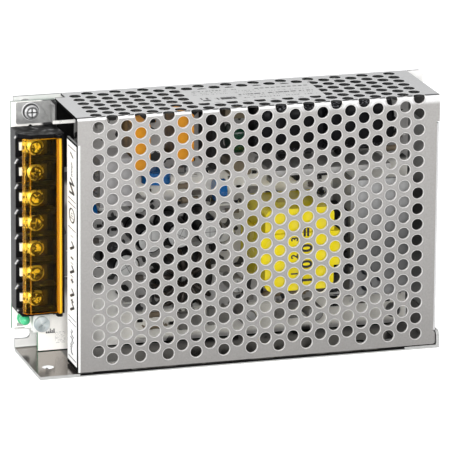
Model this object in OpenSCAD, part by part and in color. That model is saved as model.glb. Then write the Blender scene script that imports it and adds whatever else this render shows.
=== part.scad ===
// Enclosed switching power supply: a circuit board with a screw terminal block in a
// folded sheet-metal chassis, under a perforated cover.
// It stands on its long side: length along X, depth along Y (front is -Y), width up Z.
// Every piece is drawn lying on its base plate, with u along the length, v across
// from the chassis flange and w up from the base plate, and stand() then raises it.

/* [Case] */
// Overall length, from the terminal block to the end of the mounting ear
case_l = 160.7; // [150:0.1:190]
// Overall width, from the chassis flange to the side wall of the cover
case_w = 97; // [97:1:120]
// Overall depth, from the base plate to the perforated sheet
case_h = 39; // [38:0.5:48]
// Thickness of the chassis sheet
base_t = 1.2; // [1:0.1:1.6]
// Outer radius of the chassis bend
base_bend = 2; // [1.8:0.1:3]
// Length of the terminal block beyond the base plate
block_overhang = 2.85; // [1:0.05:4]
// Length of the mounting ear beyond the cover
ear_l = 6.35; // [5:0.05:8]
// Cut off each corner of the mounting ear
ear_chamfer = 1.5; // [1:0.1:3]

/* [Cover] */
// Thickness of the cover sheet
cover_t = 0.8; // [0.6:0.1:1]
// Outer radius of the cover bends
cover_bend = 1.2; // [1.1:0.1:1.6]
// Length of the open terminal zone at the left end
terminal_zone = 16.95; // [16:0.05:20]
// Gap between the cover and the chassis flange
cover_gap = 0.5; // [0.3:0.1:0.8]
// Depth of the short end flange over the terminal block
end_flange_h = 15; // [12:0.5:15]
// Relief cut between an end flange and the side wall
flange_relief = 10; // [8:0.5:14]
// Extra relief at the foot of the far end flange
foot_relief = 5.2; // [4:0.2:8]
// Notch at the back of the side wall beside the terminals, along the length
wall_notch_l = 4; // [2:0.1:5]
// Notch at the back of the side wall beside the terminals, across the depth
wall_notch_h = 7; // [4:0.1:8]
// Diameter of a ventilation hole
vent_d = 4.4; // [3.6:0.1:4.6]
// Pitch of the ventilation holes within a column
vent_pitch = 6; // [5.8:0.1:7]
// Pitch of the ventilation holes down the side wall
wall_pitch = 5.8; // [5.6:0.1:7]
// Step from one column of holes to the next
vent_step = 5.29; // [5.2:0.01:6]
// Plain margin from the cover's left edge to the first column
vent_margin = 7.75; // [6:0.25:12]
// Length of a fixing tab under the cover
fixing_tab_l = 14; // [12:1:20]
// Height of a fixing tab
fixing_tab_h = 7; // [6:0.5:8]

/* [Fixing] */
// Width of the open mounting slots
slot_w = 3.6; // [3.2:0.1:4.5]
// Length of the open slot beside the terminal block
slot_l = 5.9; // [5:0.1:8]
// Length of the open slot in the ear
ear_slot_l = 4; // [3:0.1:4.5]
// Distance of the slots from the flange side
slot_v = 6.4; // [5:0.1:8]
// Hole tapped M3 in the base plate and the flange
tap_d = 2.5; // [2.5:0.1:3.3]
// Diameter of the countersink around a flange hole
flange_sink_d = 4.4; // [3.5:0.1:5]
// Spacing of the base holes along the length
base_pitch_l = 120; // [100:1:124]
// Spacing of the base holes across the width
base_pitch_w = 77; // [60:1:77]
// Spacing of the two flange holes
flange_pitch = 120; // [100:1:130]
// Distance of the flange holes from the base plate's face
flange_hole_w = 27.5; // [20:0.5:30]

/* [Board] */
// Thickness of the circuit board
pcb_t = 1.6; // [1.2:0.1:2]
// Height of the standoffs between base plate and board
standoff_h = 5.2; // [4.5:0.1:7]
// Diameter of a standoff
standoff_d = 5.5; // [5:0.1:6.5]
// Gap between the board's edge and the sheet metal around it
pcb_gap = 0.3; // [0.3:0.1:1]
// Corner of the board that is cut away beside the open slot, along the length
pcb_notch_l = 9.8; // [9:0.1:10]
// Corner of the board that is cut away beside the open slot, across the width
pcb_notch_w = 10.8; // [10:0.1:11]
// Thickness of the insulating film on the base plate
film_t = 0.3; // [0.2:0.05:0.5]

/* [Terminals] */
// Pitch of the terminals
pole_pitch = 9.5; // [9.5:0.1:10]
// Height of the terminal block over the board
block_h = 14; // [13:0.5:16]
// Height of the terminal floor over the board
block_floor = 7; // [5.5:0.5:7]
// Thickness of the walls between terminals
barrier_t = 1.4; // [1.2:0.1:1.8]
// Distance from the flange side to the block's end wall
block_v = 19.6; // [19:0.1:21]
// Length of the low foot at the end of the block
block_foot = 2.4; // [1:0.1:2.4]
// Thickness of a terminal plate
plate_t = 1; // [0.8:0.1:1.2]
// Side of a square clamp washer
clamp_side = 7.2; // [6.6:0.1:7.4]
// Thickness of a clamp washer
clamp_t = 1; // [0.8:0.1:1.2]
// Diameter of a terminal screw's head
screw_head_d = 6.2; // [5.6:0.1:6.4]
// Height of a terminal screw's head
screw_head_h = 2; // [1.6:0.1:2.2]
// Diameter of a terminal screw's shank
screw_d = 3.4; // [3:0.1:3.6]
// How far a terminal screw and its clamp rise
screw_lift = 2.2; // [1.5:0.1:2.4]

/* [Flap] */
// Thickness of the transparent flap
flap_t = 1; // [0.8:0.1:1.2]
// Reach of the flap from its hinge line
flap_reach = 13.3; // [13:0.1:14]
// Length of the flap along the hinge
flap_l = 65.6; // [60:0.1:65.6]
// Radius of the flap's hinge barrel
barrel_r = 1; // [0.9:0.05:1]
// Radius of the flap's hinge pins
hinge_pin_r = 0.6; // [0.5:0.05:0.65]
// Drop of the flap's rolled front lip
lip_drop = 2.4; // [2:0.1:2.6]

/* [Hidden] */
$fn = 48;

// Clearances: a seam that a bore and its screw share, and a hair between loose pieces
bore_gap = 0.05;
seat_gap = 0.3;
cut = 1;

// Lengths along u
u_left = -case_l / 2;
u_right = case_l / 2;
base_u0 = u_left + block_overhang;
plate_v1 = case_w - cover_t;
cover_u0 = u_left + terminal_zone;
cover_u1 = u_right - ear_l;
cover_l = cover_u1 - cover_u0;
tab_u1 = cover_u1 + seat_gap + base_t;

// Heights along w
flange_top = case_h - 0.3;
pcb_w0 = base_t + standoff_h;
pcb_top = pcb_w0 + pcb_t;

// The cover's lower edge along v, and the pattern of its holes, counted from the fold
cover_v0 = base_t + cover_gap;
vent_r = vent_d / 2;
fold_front = 0.8;
fold_back = 0.35;
foot_inset = 0.35;
wall_start = 3.5;
vent_edge = 4.4;
columns = floor((cover_l - 2 * vent_margin) / vent_step + 0.05) + 1;
odd_rows = floor((case_w - fold_front - cover_v0 - vent_edge) / vent_pitch);
even_v = case_w - fold_front - vent_pitch / 2;
even_rows = floor((even_v - cover_v0 - vent_edge) / vent_pitch) + 1;
wall_floor = base_t + vent_r;
even_w = case_h - wall_start;
odd_w = even_w - wall_pitch / 2;

// The board's outline
pcb_u0 = u_left + 0.15;
pcb_u1 = cover_u1 - cover_t - pcb_gap - 0.5;
pcb_v0 = base_t + pcb_gap;
pcb_v1 = case_w - cover_t - pcb_gap;
pcb_open_v1 = case_w - 0.2;

// Board fixings, as [u, v]: three under the cover, and the earth screw in the open zone
m3_r = 1.5;
earth_at = [u_left + 7.25, pcb_open_v1 - 3.6];
pcb_fixings = [
    [cover_u0 + 11, pcb_v0 + 5.2],
    [pcb_u1 - 5, pcb_v0 + 5.2],
    [pcb_u1 - 5, pcb_v1 - 5]
];
fixing_tabs = [cover_u0 + 14, cover_u1 - 14];
cover_screw_r = 1.25;
cover_screw_head_r = 2.2;
cover_screw_w = case_h - cover_t - fixing_tab_h / 2;

// Terminal block
poles = 7;
block_u0 = u_left;
block_u1 = cover_u0 - 0.5;
block_back = 2.6;
pocket_u1 = block_u1 - block_back;
block_v1 = block_v + poles * pole_pitch + barrier_t;
block_top = pcb_top + block_h;
floor_w = pcb_top + block_floor;
plate_w = floor_w + plate_t;
clamp_w = plate_w + clamp_t;
screw_u = block_u0 + 6.7;
barrier_slope = 4;
barrier_drop = 3.6;
plate_recess = 1.3;
plate_l = 10.2;
tongue_l = 1.8;
tongue_w = 3;
shank_l = 5.5;
function pole_v(i) = block_v + barrier_t / 2 + pole_pitch * (poles - i + 0.5);

// Flap
hinge_u = cover_u0 - 2.6;
flap_gap = 0.2;
hinge_w = block_top + flap_gap + barrel_r;
flap_v0 = block_v + 0.8;
lug_t = 1.1;
lug_reach = 1.1;

// Trimmer and lamp
trimmer_at = [u_left + 10.4, block_v - block_foot - 4.2];
foot_gap = 7.2;
trimmer_side = 6.4;
trimmer_h = 3.6;
rotor_r = 2.9;
rotor_h = 1.2;
rotor_stem_r = 1;
led_r = 1.9;
led_h = 3.4;
led_at = [u_left + 4.2, block_v - block_foot - led_r - 0.5];

// Mains parts, placed from the cover's left edge and down from the board's far edge
fuse_at = [9.6, 23.9];
fuse_l = 20;
fuse_r = 2.4;
fuse_cap_l = 5;
fuse_w = 3;
choke_at = [18.4, 27.9];
x_capacitor_size = [6.5, 18, 16];
x_capacitor_at = [[24.9, 24.5], [41.4, 21.9]];
varistor_at = [36.2, 28.9];
ntc_at = [66.3, 16.7];
small_disc_at = [12.5, 41.3];
film_capacitor_size = [8.4, 5.2, 10];
film_capacitor_at = [[63.2, 29.9], [61.6, 8.3]];
bridge_size = [3.6, 20, 18];
bridge_at = [54, 24.5];
bulk_r = 11;
bulk_l = 25;
bulk_at = [71.6, 98.2];
primary_sink_at = [76, 28.3];
primary_sink_l = 46;
sink_t = 2;
sink_h = 21;

// Transistors and diodes: the metal tab, the resin body on it and its fixing hole
tab_size = [10, 1.3, 10.5];
body_size = [10, 4.4, 9];
tab_hole_w = 17;
transistor_x = 12;

// Transformer, midway between the transistor and the row of small parts at the flange
headroom = case_h - cover_t - pcb_top;
low_row_v = 17.2;
sink_v = pcb_v1 - primary_sink_at[1];
core_clearance = 4.2;
core_size = [30.5, 13, headroom - core_clearance];
core_wall = [4, 5];
winding_gap = 0.1;
core_x = 70.8;
transformer_v = (sink_v - body_size[1] + low_row_v) / 2;
winding_step = 1.4;
winding_size = [26.5, 31.2, core_size[2] - winding_step];

// Low-voltage parts, placed from the cover's left edge and up from the flange side
secondary_sink_at = [106.5, 20];
sink_spacing = 3.6;
secondary_sink_size = [24, sink_v - sink_spacing - secondary_sink_at[1], 22];
diode_v = [26, 42];
big_disc_at = [60.8, 59.8];
inductor_at = [47, 27.6];
inductor_r = 7.5;
inductor_ring_r = 3.6;
inductor_wire = 0.9;
inductor_w = inductor_ring_r + 2 * inductor_wire + 0.6;
output_can = [5, 20];
output_capacitor_at = [[21.4, 37], [30.5, 46.5], [41.7, 47.5], [53, 48]];
small_can = [3.1, 11];
small_capacitor_at = [[60.6, 44], [66.5, 24], [71, 11], [97, 11], [28.6, 57.4]];
resistor_l = 9;
resistor_lead = 1.4;
resistor_cap_l = 1.8;
resistor_at = [[33, 8], [33, 12.5], [78, 17], [88, 17], [46, 55.6], [43, 61], [124, 70]];
chip_size = [9.2, 6.2, 3.2];
chip_at = [[84, 7.6], [46, 6.4], [57.5, 7.4]];
jumper_l = 8;
jumper_at = [[26, 17.5], [45.4, 64.5], [62, 52.5], [101, 15]];

// Stands a lying piece on its flange side
module stand() translate([0, case_h / 2, 0]) rotate([90, 0, 0]) children();

// Plates cut from a flat drawing: across v, with the drawing in (u, w), and across u,
// with the drawing in (v, w)
module across_v(v0, t) translate([0, v0 + t, 0]) rotate([90, 0, 0]) linear_extrude(t) children();
module across_u(u0, t) translate([u0, 0, 0]) rotate([90, 0, 90]) linear_extrude(t) children();

// A round bar along v or u
module bar_v(r, l) rotate([-90, 0, 0]) cylinder(r = r, h = l);
module bar_u(r, l) rotate([0, 90, 0]) cylinder(r = r, h = l);

// A place on the board's component side, from the flange side or from the far edge
module on_board(at) translate([cover_u0 + at[0], at[1], pcb_top]) children();
module by_wall(at) on_board([at[0], pcb_v1 - at[1]]) children();

// Quarter of a sheet's bend, drawn in the corner of the first quadrant's origin
module bend(outer, t) intersection() {
    difference() {
        circle(r = outer);
        circle(r = outer - t);
    }
    square(outer);
}

// Rectangle with rounded corners, from its lower left corner
module rounded(size, r) union() {
    translate([r, 0]) square([size[0] - 2 * r, size[1]]);
    translate([0, r]) square([size[0], size[1] - 2 * r]);
    for (x = [r, size[0] - r], y = [r, size[1] - r]) translate([x, y]) circle(r = r);
}

// Slot that is open at its left end and round at its right end
module open_slot(l, w) {
    translate([-cut, -w / 2]) square([l - w / 2 + cut, w]);
    translate([l - w / 2, 0]) circle(d = w);
}

// Cross recess in a screw's head, cut down from its top
module cross_recess(reach, depth) for (a = [0, 90])
    rotate([0, 0, a]) translate([-reach, -reach * 0.17, -depth])
        cube([2 * reach, reach * 0.34, depth + cut]);

// Screw with a domed cylinder head, seated at w = 0 with its shank below
module pan_screw(head_r, head_h, shank_r, shank) difference() {
    union() {
        translate([0, 0, -shank]) cylinder(r = shank_r, h = shank + cut / 2);
        cylinder(r = head_r, h = head_h * 0.55);
        translate([0, 0, head_h * 0.55])
            cylinder(r1 = head_r, r2 = head_r * 0.72, h = head_h * 0.45);
    }
    translate([0, 0, head_h]) cross_recess(head_r * 0.62, head_h * 0.6);
}

// Electrolytic can standing on its base, with a crimp over its seal
module can(r, h) rotate_extrude() polygon([
    [0, 0], [r * 0.9, 0], [r, r * 0.15], [r, r * 0.35], [r * 0.93, r * 0.5],
    [r, r * 0.65], [r, h - r * 0.12], [r * 0.9, h], [0, h]
]);

// Disc component standing on edge on two leads, facing along v
module disc_part(r, t, lift) {
    translate([0, -t / 2, r + lift]) bar_v(r, t);
    for (x = [-r / 2, r / 2]) translate([x, 0, 0]) cylinder(r = 0.4, h = lift + r / 2);
}

// --- Case ---

module base_sheet() linear_extrude(base_t) difference() {
    polygon([
        [base_u0, base_bend], [u_right - ear_chamfer, base_bend],
        [u_right, base_bend + ear_chamfer], [u_right, case_w - ear_chamfer],
        [u_right - ear_chamfer, case_w], [cover_u1 + seat_gap, case_w],
        [cover_u1 + seat_gap, plate_v1], [cover_u0 + wall_notch_l - seat_gap, plate_v1],
        [cover_u0 + wall_notch_l - seat_gap, case_w], [base_u0, case_w]
    ]);
    translate([base_u0, slot_v]) open_slot(slot_l, slot_w);
    translate([u_right, slot_v]) mirror([1, 0]) open_slot(ear_slot_l, slot_w);
    for (u = [-1, 1], v = [-1, 1])
        translate([u * base_pitch_l / 2, case_w / 2 + v * base_pitch_w / 2])
            circle(d = tap_d);
    for (at = concat(pcb_fixings, [earth_at])) translate(at) circle(r = m3_r + bore_gap);
}

module flange_sheet() across_v(0, base_t) difference() {
    translate([base_u0, base_bend])
        square([tab_u1 - base_u0, flange_top - base_bend]);
    for (i = [0, 1]) translate([base_u0 + 5.8 + i * flange_pitch, flange_hole_w])
        circle(d = tap_d);
}

// A short end wall turned up at the flange's far front corner
module end_tab() across_u(tab_u1 - base_t, base_t) polygon([
    [0, flange_top - 8], [5, flange_top - 8], [6.4, flange_top - 6.6],
    [6.4, flange_top - 1.4], [5, flange_top], [0, flange_top]
]);

module chassis() color("lightgray") stand() difference() {
    union() {
        base_sheet();
        flange_sheet();
        end_tab();
        across_u(base_u0, tab_u1 - base_u0)
            translate([base_bend, base_bend]) rotate([0, 0, 180]) bend(base_bend, base_t);
    }
    for (u = fixing_tabs) translate([u, 0, cover_screw_w]) countersink();
    for (i = [0, 1]) translate([base_u0 + 5.8 + i * flange_pitch, 0, flange_hole_w])
        translate([0, base_t - 0.45, 0]) rotate([-90, 0, 0])
            cylinder(r1 = tap_d / 2, r2 = flange_sink_d / 2, h = 0.46);
}

// Countersunk hole for a cover screw, and the screw itself with its clearance at zero
module countersink(gap = bore_gap) {
    translate([0, -cut, 0]) bar_v(cover_screw_head_r + gap, cut + 0.1);
    translate([0, 0.1, 0]) rotate([-90, 0, 0])
        cylinder(r1 = cover_screw_head_r + gap, r2 = cover_screw_r + gap, h = 0.9);
    bar_v(cover_screw_r + gap, cover_v0 + cover_t + cut);
}

module cover_screws() color("gainsboro") stand()
    for (u = fixing_tabs) translate([u, 0, cover_screw_w]) difference() {
        union() {
            translate([0, 0.1, 0]) rotate([-90, 0, 0])
                cylinder(r1 = cover_screw_head_r, r2 = cover_screw_r, h = 0.9);
            translate([0, 0.5, 0]) bar_v(cover_screw_r, cover_v0 + cover_t);
        }
        translate([0, 0.1, 0]) rotate([90, 0, 0]) cross_recess(1.3, 0.6);
    }

function column_u(i) = cover_u0 + vent_margin + vent_step * i;

module front_holes() for (i = [0 : columns - 1]) {
    odd = i % 2;
    rows = odd == 1 ? odd_rows : even_rows;
    first = odd == 1 ? case_w - fold_front - vent_pitch : even_v;
    for (k = [0 : rows - 1]) translate([column_u(i), first - vent_pitch * k])
        circle(r = vent_r);
}

module wall_holes() for (i = [0 : columns - 1]) {
    first = i % 2 == 1 ? odd_w : even_w;
    for (k = [0 : floor((first - wall_floor) / wall_pitch)])
        translate([column_u(i), first - wall_pitch * k]) circle(r = vent_r);
}

// Holes of the odd columns, which run round the fold from the front to the side wall
module fold_holes() for (i = [1 : 2 : columns - 1]) {
    translate([column_u(i), case_w - fold_front, case_h - cover_bend])
        cylinder(r = vent_r, h = cover_bend + cut);
    translate([column_u(i), case_w - cover_bend, case_h - fold_back])
        bar_v(vent_r, cover_bend + cut);
}

module front_sheet() translate([0, 0, case_h - cover_t]) linear_extrude(cover_t)
    difference() {
        union() {
            translate([cover_u0 + cover_bend, cover_v0])
                square([cover_l - 2 * cover_bend, case_w - cover_bend - cover_v0]);
            translate([cover_u0, case_w - flange_relief])
                square([cover_l, flange_relief - cover_bend]);
            translate([cover_u1 - foot_inset - foot_relief, cover_v0])
                rounded([foot_relief, foot_relief - seat_gap], 0.8);
        }
        front_holes();
    }

// The side wall laps over the base plate's edge
module side_wall() across_v(plate_v1, cover_t) difference() {
    translate([cover_u0, 0]) square([cover_l, case_h - cover_bend]);
    wall_holes();
    translate([cover_u0 - cut, -cut]) square([wall_notch_l + cut, wall_notch_h + cut]);
}

// An end flange and its bend, drawn for the left end
module end_flange(v0, v1, w0) {
    across_u(0, cover_t) translate([v0, w0]) square([v1 - v0, case_h - cover_bend - w0]);
    across_v(v0, v1 - v0) translate([cover_bend, case_h - cover_bend])
        mirror([1, 0]) bend(cover_bend, cover_t);
}

module fixing_tab(u) translate([u - fixing_tab_l / 2, cover_v0, case_h - cover_t - fixing_tab_h])
    cube([fixing_tab_l, cover_t, fixing_tab_h + cover_t / 2]);

module cover() color("silver") stand() difference() {
    union() {
        front_sheet();
        side_wall();
        across_u(cover_u0, cover_l) translate([case_w - cover_bend, case_h - cover_bend])
            bend(cover_bend, cover_t);
        translate([cover_u0, 0, 0])
            end_flange(cover_v0, case_w - flange_relief, case_h - end_flange_h);
        translate([cover_u1, 0, 0]) mirror([1, 0, 0])
            end_flange(cover_v0 + foot_relief, case_w - flange_relief - 0.8, base_t);
        for (u = fixing_tabs) fixing_tab(u);
    }
    fold_holes();
    for (u = fixing_tabs) translate([u, cover_v0 - cut, cover_screw_w])
        bar_v(cover_screw_r + bore_gap, cover_t + 2 * cut);
}

label_t = 0.1;
rating_label_size = [50, 19.8];
rating_label_at = [46.6, 8.8];

module terminal_label() color("white") stand()
    translate([cover_u0 - label_t, cover_v0 + 1.6, case_h - end_flange_h + 0.6])
        cube([label_t, case_w - flange_relief - cover_v0 - 2.4, end_flange_h - 2.2]);

module rating_label() color("gainsboro") stand()
    translate([cover_u0 + rating_label_at[0], case_w, rating_label_at[1]])
        cube([rating_label_size[0], label_t, rating_label_size[1]]);

// --- Board ---

module insulation_film() color("ivory") stand() translate([0, 0, base_t])
    linear_extrude(film_t) difference() {
        translate([cover_u0 + 1.5, base_bend + 0.2])
            square([cover_l - 4, plate_v1 - base_bend - 0.7]);
        for (at = pcb_fixings) translate(at) circle(d = standoff_d + 2 * seat_gap);
        for (u = [-1, 1], v = [-1, 1])
            translate([u * base_pitch_l / 2, case_w / 2 + v * base_pitch_w / 2])
                circle(d = tap_d + 2);
    }

module pcb_standoffs() color("silver") stand() for (at = concat(pcb_fixings, [earth_at]))
    translate([at[0], at[1], base_t]) linear_extrude(standoff_h) difference() {
        circle(d = standoff_d);
        circle(r = m3_r + bore_gap);
    }

module pcb() color("beige") stand() translate([0, 0, pcb_w0]) linear_extrude(pcb_t)
    difference() {
        polygon([
            [pcb_u0 + pcb_notch_l, pcb_v0], [pcb_u1, pcb_v0], [pcb_u1, pcb_v1],
            [cover_u0 - seat_gap, pcb_v1], [cover_u0 - seat_gap, pcb_open_v1],
            [pcb_u0, pcb_open_v1], [pcb_u0, pcb_notch_w],
            [pcb_u0 + pcb_notch_l, pcb_notch_w]
        ]);
        for (at = concat(pcb_fixings, [earth_at])) translate(at) circle(r = m3_r + bore_gap);
    }

module pcb_screws() color("gainsboro") stand() for (at = pcb_fixings)
    translate([at[0], at[1], pcb_top]) pan_screw(2.8, 2, m3_r, pcb_t + standoff_h - 1);

bracket_t = 1;
bracket_size = [13.4, 8];
bracket_at = [cover_u0 - 1.6 - bracket_size[0], pcb_open_v1 - 0.2 - bracket_size[1]];
bracket_leg_h = 5.4;

module earth_bracket() color("darkgray") stand()
    translate([bracket_at[0], bracket_at[1], pcb_top]) {
        linear_extrude(bracket_t) difference() {
            rounded(bracket_size, 0.6);
            translate(earth_at - bracket_at) circle(r = m3_r + bore_gap);
        }
        translate([bracket_size[0] - bracket_t, 0.6, 0])
            cube([bracket_t, bracket_size[1] - 1.2, bracket_leg_h]);
        translate([0, 0, bracket_t / 2]) linear_extrude(bracket_t) polygon([
            [bracket_size[0] - 4.6, bracket_size[1] - 0.6],
            bracket_size - [bracket_t, 0.6], [bracket_size[0] - bracket_t, 0.6]
        ]);
    }

washer_t = 0.6;
washer_r = 3.3;
earth_head_r = 2.8;

module earth_screw() color("silver") stand()
    translate([earth_at[0], earth_at[1], pcb_top + bracket_t]) {
        linear_extrude(washer_t) difference() {
            circle(r = washer_r);
            circle(r = m3_r + bore_gap);
        }
        translate([0, 0, washer_t])
            pan_screw(earth_head_r, 2, m3_r, bracket_t + washer_t + pcb_t + standoff_h - 1);
    }

// --- Terminals ---

// Side view of a wall between two terminals, sloping up from the open side
module barrier_profile() polygon([
    [block_u0, pcb_top], [block_u1, pcb_top], [block_u1, block_top],
    [block_u0 + barrier_slope, block_top], [block_u0, block_top - barrier_drop]
]);

module pocket(i) translate([block_u0 - cut, pole_v(i) - (pole_pitch - barrier_t) / 2, floor_w])
    cube([pocket_u1 - block_u0 + cut, pole_pitch - barrier_t, block_h]);

module hinge_lug(v) difference() {
    union() {
        translate([hinge_u, v, hinge_w]) bar_v(lug_reach, lug_t);
        translate([hinge_u - lug_reach, v, block_top - 0.5])
            cube([2 * lug_reach, lug_t, hinge_w - block_top + 0.5]);
    }
    translate([hinge_u, v - cut, hinge_w]) bar_v(hinge_pin_r + bore_gap, lug_t + 2 * cut);
}

// Low feet of the end wall, one on each side of the trimmer
module block_feet() {
    polygon([
        [block_u0 + block_foot, block_v - block_foot],
        [trimmer_at[0] - foot_gap / 2, block_v - block_foot],
        [trimmer_at[0] - foot_gap / 2, block_v + barrier_t / 2],
        [block_u0, block_v + barrier_t / 2], [block_u0, block_v]
    ]);
    translate([trimmer_at[0] + foot_gap / 2, block_v - block_foot])
        square([block_u1 - trimmer_at[0] - foot_gap / 2, block_foot + barrier_t / 2]);
}

module terminal_block() color("#1c1c1c") stand() difference() {
    union() {
        across_v(block_v, block_v1 - block_v) barrier_profile();
        translate([0, 0, pcb_top]) linear_extrude(block_floor) block_feet();
        hinge_lug(flap_v0 - seat_gap - lug_t);
        hinge_lug(flap_v0 + flap_l + seat_gap);
    }
    for (i = [1 : poles]) {
        pocket(i);
        translate([screw_u, pole_v(i), plate_w - shank_l])
            cylinder(r = screw_d / 2 + 0.2, h = shank_l);
    }
}

module terminal_plates() color("gainsboro") stand() for (i = [1 : poles])
    translate([0, pole_v(i), floor_w]) linear_extrude(plate_t) difference() {
        union() {
            translate([block_u0 + plate_recess + tongue_l, -3.3])
                square([plate_l - tongue_l, 6.6]);
            translate([block_u0 + plate_recess, -tongue_w / 2])
                square([tongue_l + cut, tongue_w]);
        }
        translate([screw_u, 0]) circle(r = screw_d / 2 + bore_gap);
    }

module clamp(i) color("khaki") stand() translate([screw_u, pole_v(i), plate_w])
    linear_extrude(clamp_t) difference() {
        translate([-clamp_side / 2, -clamp_side / 2]) rounded([clamp_side, clamp_side], 0.8);
        circle(r = screw_d / 2 + bore_gap);
    }

module terminal_screw(i) color("gold") stand() translate([screw_u, pole_v(i), clamp_w])
    rotate([0, 0, 15 + 40 * i])
        pan_screw(screw_head_d / 2, screw_head_h, screw_d / 2, shank_l - clamp_t - plate_t);

module flap_profile() union() {
    circle(r = barrel_r);
    translate([-flap_reach + lip_drop, -barrel_r]) square([flap_reach - lip_drop, flap_t]);
    translate([-flap_reach + lip_drop, flap_t - barrel_r - lip_drop])
        mirror([1, 0]) bend(lip_drop, flap_t);
}

module terminal_flap() color([0.85, 0.5, 0.05, 0.55]) stand()
    translate([hinge_u, flap_v0, hinge_w]) {
        across_v(0, flap_l) flap_profile();
        translate([0, -lug_t, 0]) bar_v(hinge_pin_r, flap_l + 2 * lug_t);
    }

// --- Trimmer and lamp ---

module trimmer_body() color("lightsteelblue") stand()
    translate([trimmer_at[0], trimmer_at[1], pcb_top]) linear_extrude(trimmer_h) difference() {
        translate([-trimmer_side / 2, -trimmer_side / 2])
            rounded([trimmer_side, trimmer_side], 0.5);
        circle(r = rotor_stem_r + bore_gap);
    }

module trimmer_rotor() color("aliceblue") stand()
    translate([trimmer_at[0], trimmer_at[1], pcb_top + trimmer_h + bore_gap]) difference() {
        union() {
            cylinder(r = rotor_r, h = rotor_h);
            translate([0, 0, -2.5]) cylinder(r = rotor_stem_r, h = 3);
        }
        translate([0, 0, rotor_h]) rotate([0, 0, 35]) cross_recess(1.8, 0.6);
    }

module status_led() color("mediumseagreen") stand()
    translate([led_at[0], led_at[1], pcb_top]) {
        cylinder(r = led_r + 0.4, h = 1);
        cylinder(r = led_r, h = led_h);
        translate([0, 0, led_h]) sphere(r = led_r);
    }

// --- Mains side ---

module fuse() color("white") stand() by_wall(fuse_at) {
    for (y = [fuse_cap_l / 2, fuse_l - fuse_cap_l / 2]) translate([0, y, 0])
        cylinder(r = 0.4, h = fuse_w);
    for (y = [0, fuse_l - fuse_cap_l]) translate([0, y, fuse_w]) bar_v(fuse_r, fuse_cap_l);
    translate([0, fuse_cap_l / 2, fuse_w]) bar_v(fuse_r - 0.3, fuse_l - fuse_cap_l);
}

choke_size = [12, 18, 16];
choke_turns = 7;
choke_wire = 0.65;
choke_limb = 3.4;
choke_spool_r = 2.2;

module choke_core() color("dimgray") stand() by_wall(choke_at)
    translate([-choke_size[0] / 2, -choke_size[1] / 2, 0]) difference() {
        cube(choke_size);
        translate([-cut, choke_limb, choke_limb]) cube([
            choke_size[0] + 2 * cut, choke_size[1] - 2 * choke_limb, choke_size[2] - 2 * choke_limb
        ]);
    }

// One wound spool between the core's limbs, as a row of turns
module choke_winding() {
    spool_l = choke_size[1] - 2 * choke_limb - 2 * bore_gap;
    translate([0, -spool_l / 2, choke_size[2] / 2]) rotate([-90, 0, 0]) rotate_extrude() {
        square([choke_spool_r, spool_l]);
        for (k = [0 : choke_turns - 1])
            translate([choke_spool_r, spool_l * (k + 0.5) / choke_turns]) intersection() {
                circle(r = choke_wire);
                translate([0, -choke_wire]) square(2 * choke_wire);
            }
    }
}

module choke_windings() color("sienna") stand() by_wall(choke_at)
    for (x = [-1, 1]) translate([x * choke_size[0] / 4, 0, 0]) choke_winding();

module x_capacitor(i) color("orange") stand() by_wall(x_capacitor_at[i - 1])
    linear_extrude(x_capacitor_size[2])
        rounded([x_capacitor_size[0], x_capacitor_size[1]], 0.8);

module varistor() color("steelblue") stand() by_wall(varistor_at) disc_part(5.5, 4.4, 1);

module y_capacitors() color("royalblue") stand() {
    on_board(big_disc_at) rotate([0, 0, 90]) disc_part(4, 4, 1.5);
    by_wall(small_disc_at) rotate([0, 0, 90]) disc_part(2.8, 2.6, 1.5);
}

module ntc_thermistor() color("darkgreen") stand() by_wall(ntc_at)
    rotate([0, 0, 90]) disc_part(5.4, 4.8, 1);

module film_capacitors() color("tan") stand() for (at = film_capacitor_at)
    by_wall(at) linear_extrude(film_capacitor_size[2])
        rounded([film_capacitor_size[0], film_capacitor_size[1]], 0.8);

module bridge_rectifier() color("#202020") stand() by_wall(bridge_at) {
    translate([0, 0, 1]) across_v(0, bridge_size[1]) polygon([
        [0, 0], [bridge_size[0], 0], [bridge_size[0], bridge_size[2] - 2],
        [bridge_size[0] - 2.2, bridge_size[2]], [0, bridge_size[2]]
    ]);
    for (k = [0 : 3]) translate([bridge_size[0] / 2, (k + 0.5) * bridge_size[1] / 4, 0])
        cylinder(r = 0.5, h = 1.5);
}

module bulk_capacitor(i) color("#181818") stand()
    on_board([bulk_at[i - 1], pcb_v1 - 0.2 - bulk_r]) {
        translate([0, 0, bulk_r + seat_gap]) rotate([0, 90, 0]) can(bulk_r, bulk_l);
        for (y = [-5, 5]) translate([0.6, y, 0]) cylinder(r = 0.5, h = bulk_r);
    }

// --- Power train ---

module primary_heatsink() color("lightgray") stand() by_wall(primary_sink_at) difference() {
    cube([primary_sink_l, sink_t, sink_h]);
    translate([transistor_x + tab_size[0] / 2, -cut, tab_hole_w])
        bar_v(m3_r + bore_gap, sink_t + 2 * cut);
}

// Transistor with a metal tab, standing with its back on a heatsink at v = 0
module tab_transistor() {
    difference() {
        translate([0, -tab_size[1], tab_hole_w - 8]) cube(tab_size);
        translate([tab_size[0] / 2, -tab_size[1] - cut, tab_hole_w])
            bar_v(m3_r + bore_gap, tab_size[1] + 2 * cut);
    }
    translate([0, -body_size[1], 4]) cube(body_size);
    for (x = [-2.6, 0, 2.6]) translate([tab_size[0] / 2 + x - 0.4, -2.4, 0])
        cube([0.8, 0.6, 5]);
}

module tab_screw() pan_screw(2.6, 1.8, m3_r, tab_size[1] + sink_t + 0.8);

module switching_transistor() color("#242424") stand() by_wall(primary_sink_at)
    translate([transistor_x, 0, 0]) tab_transistor();

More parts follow.
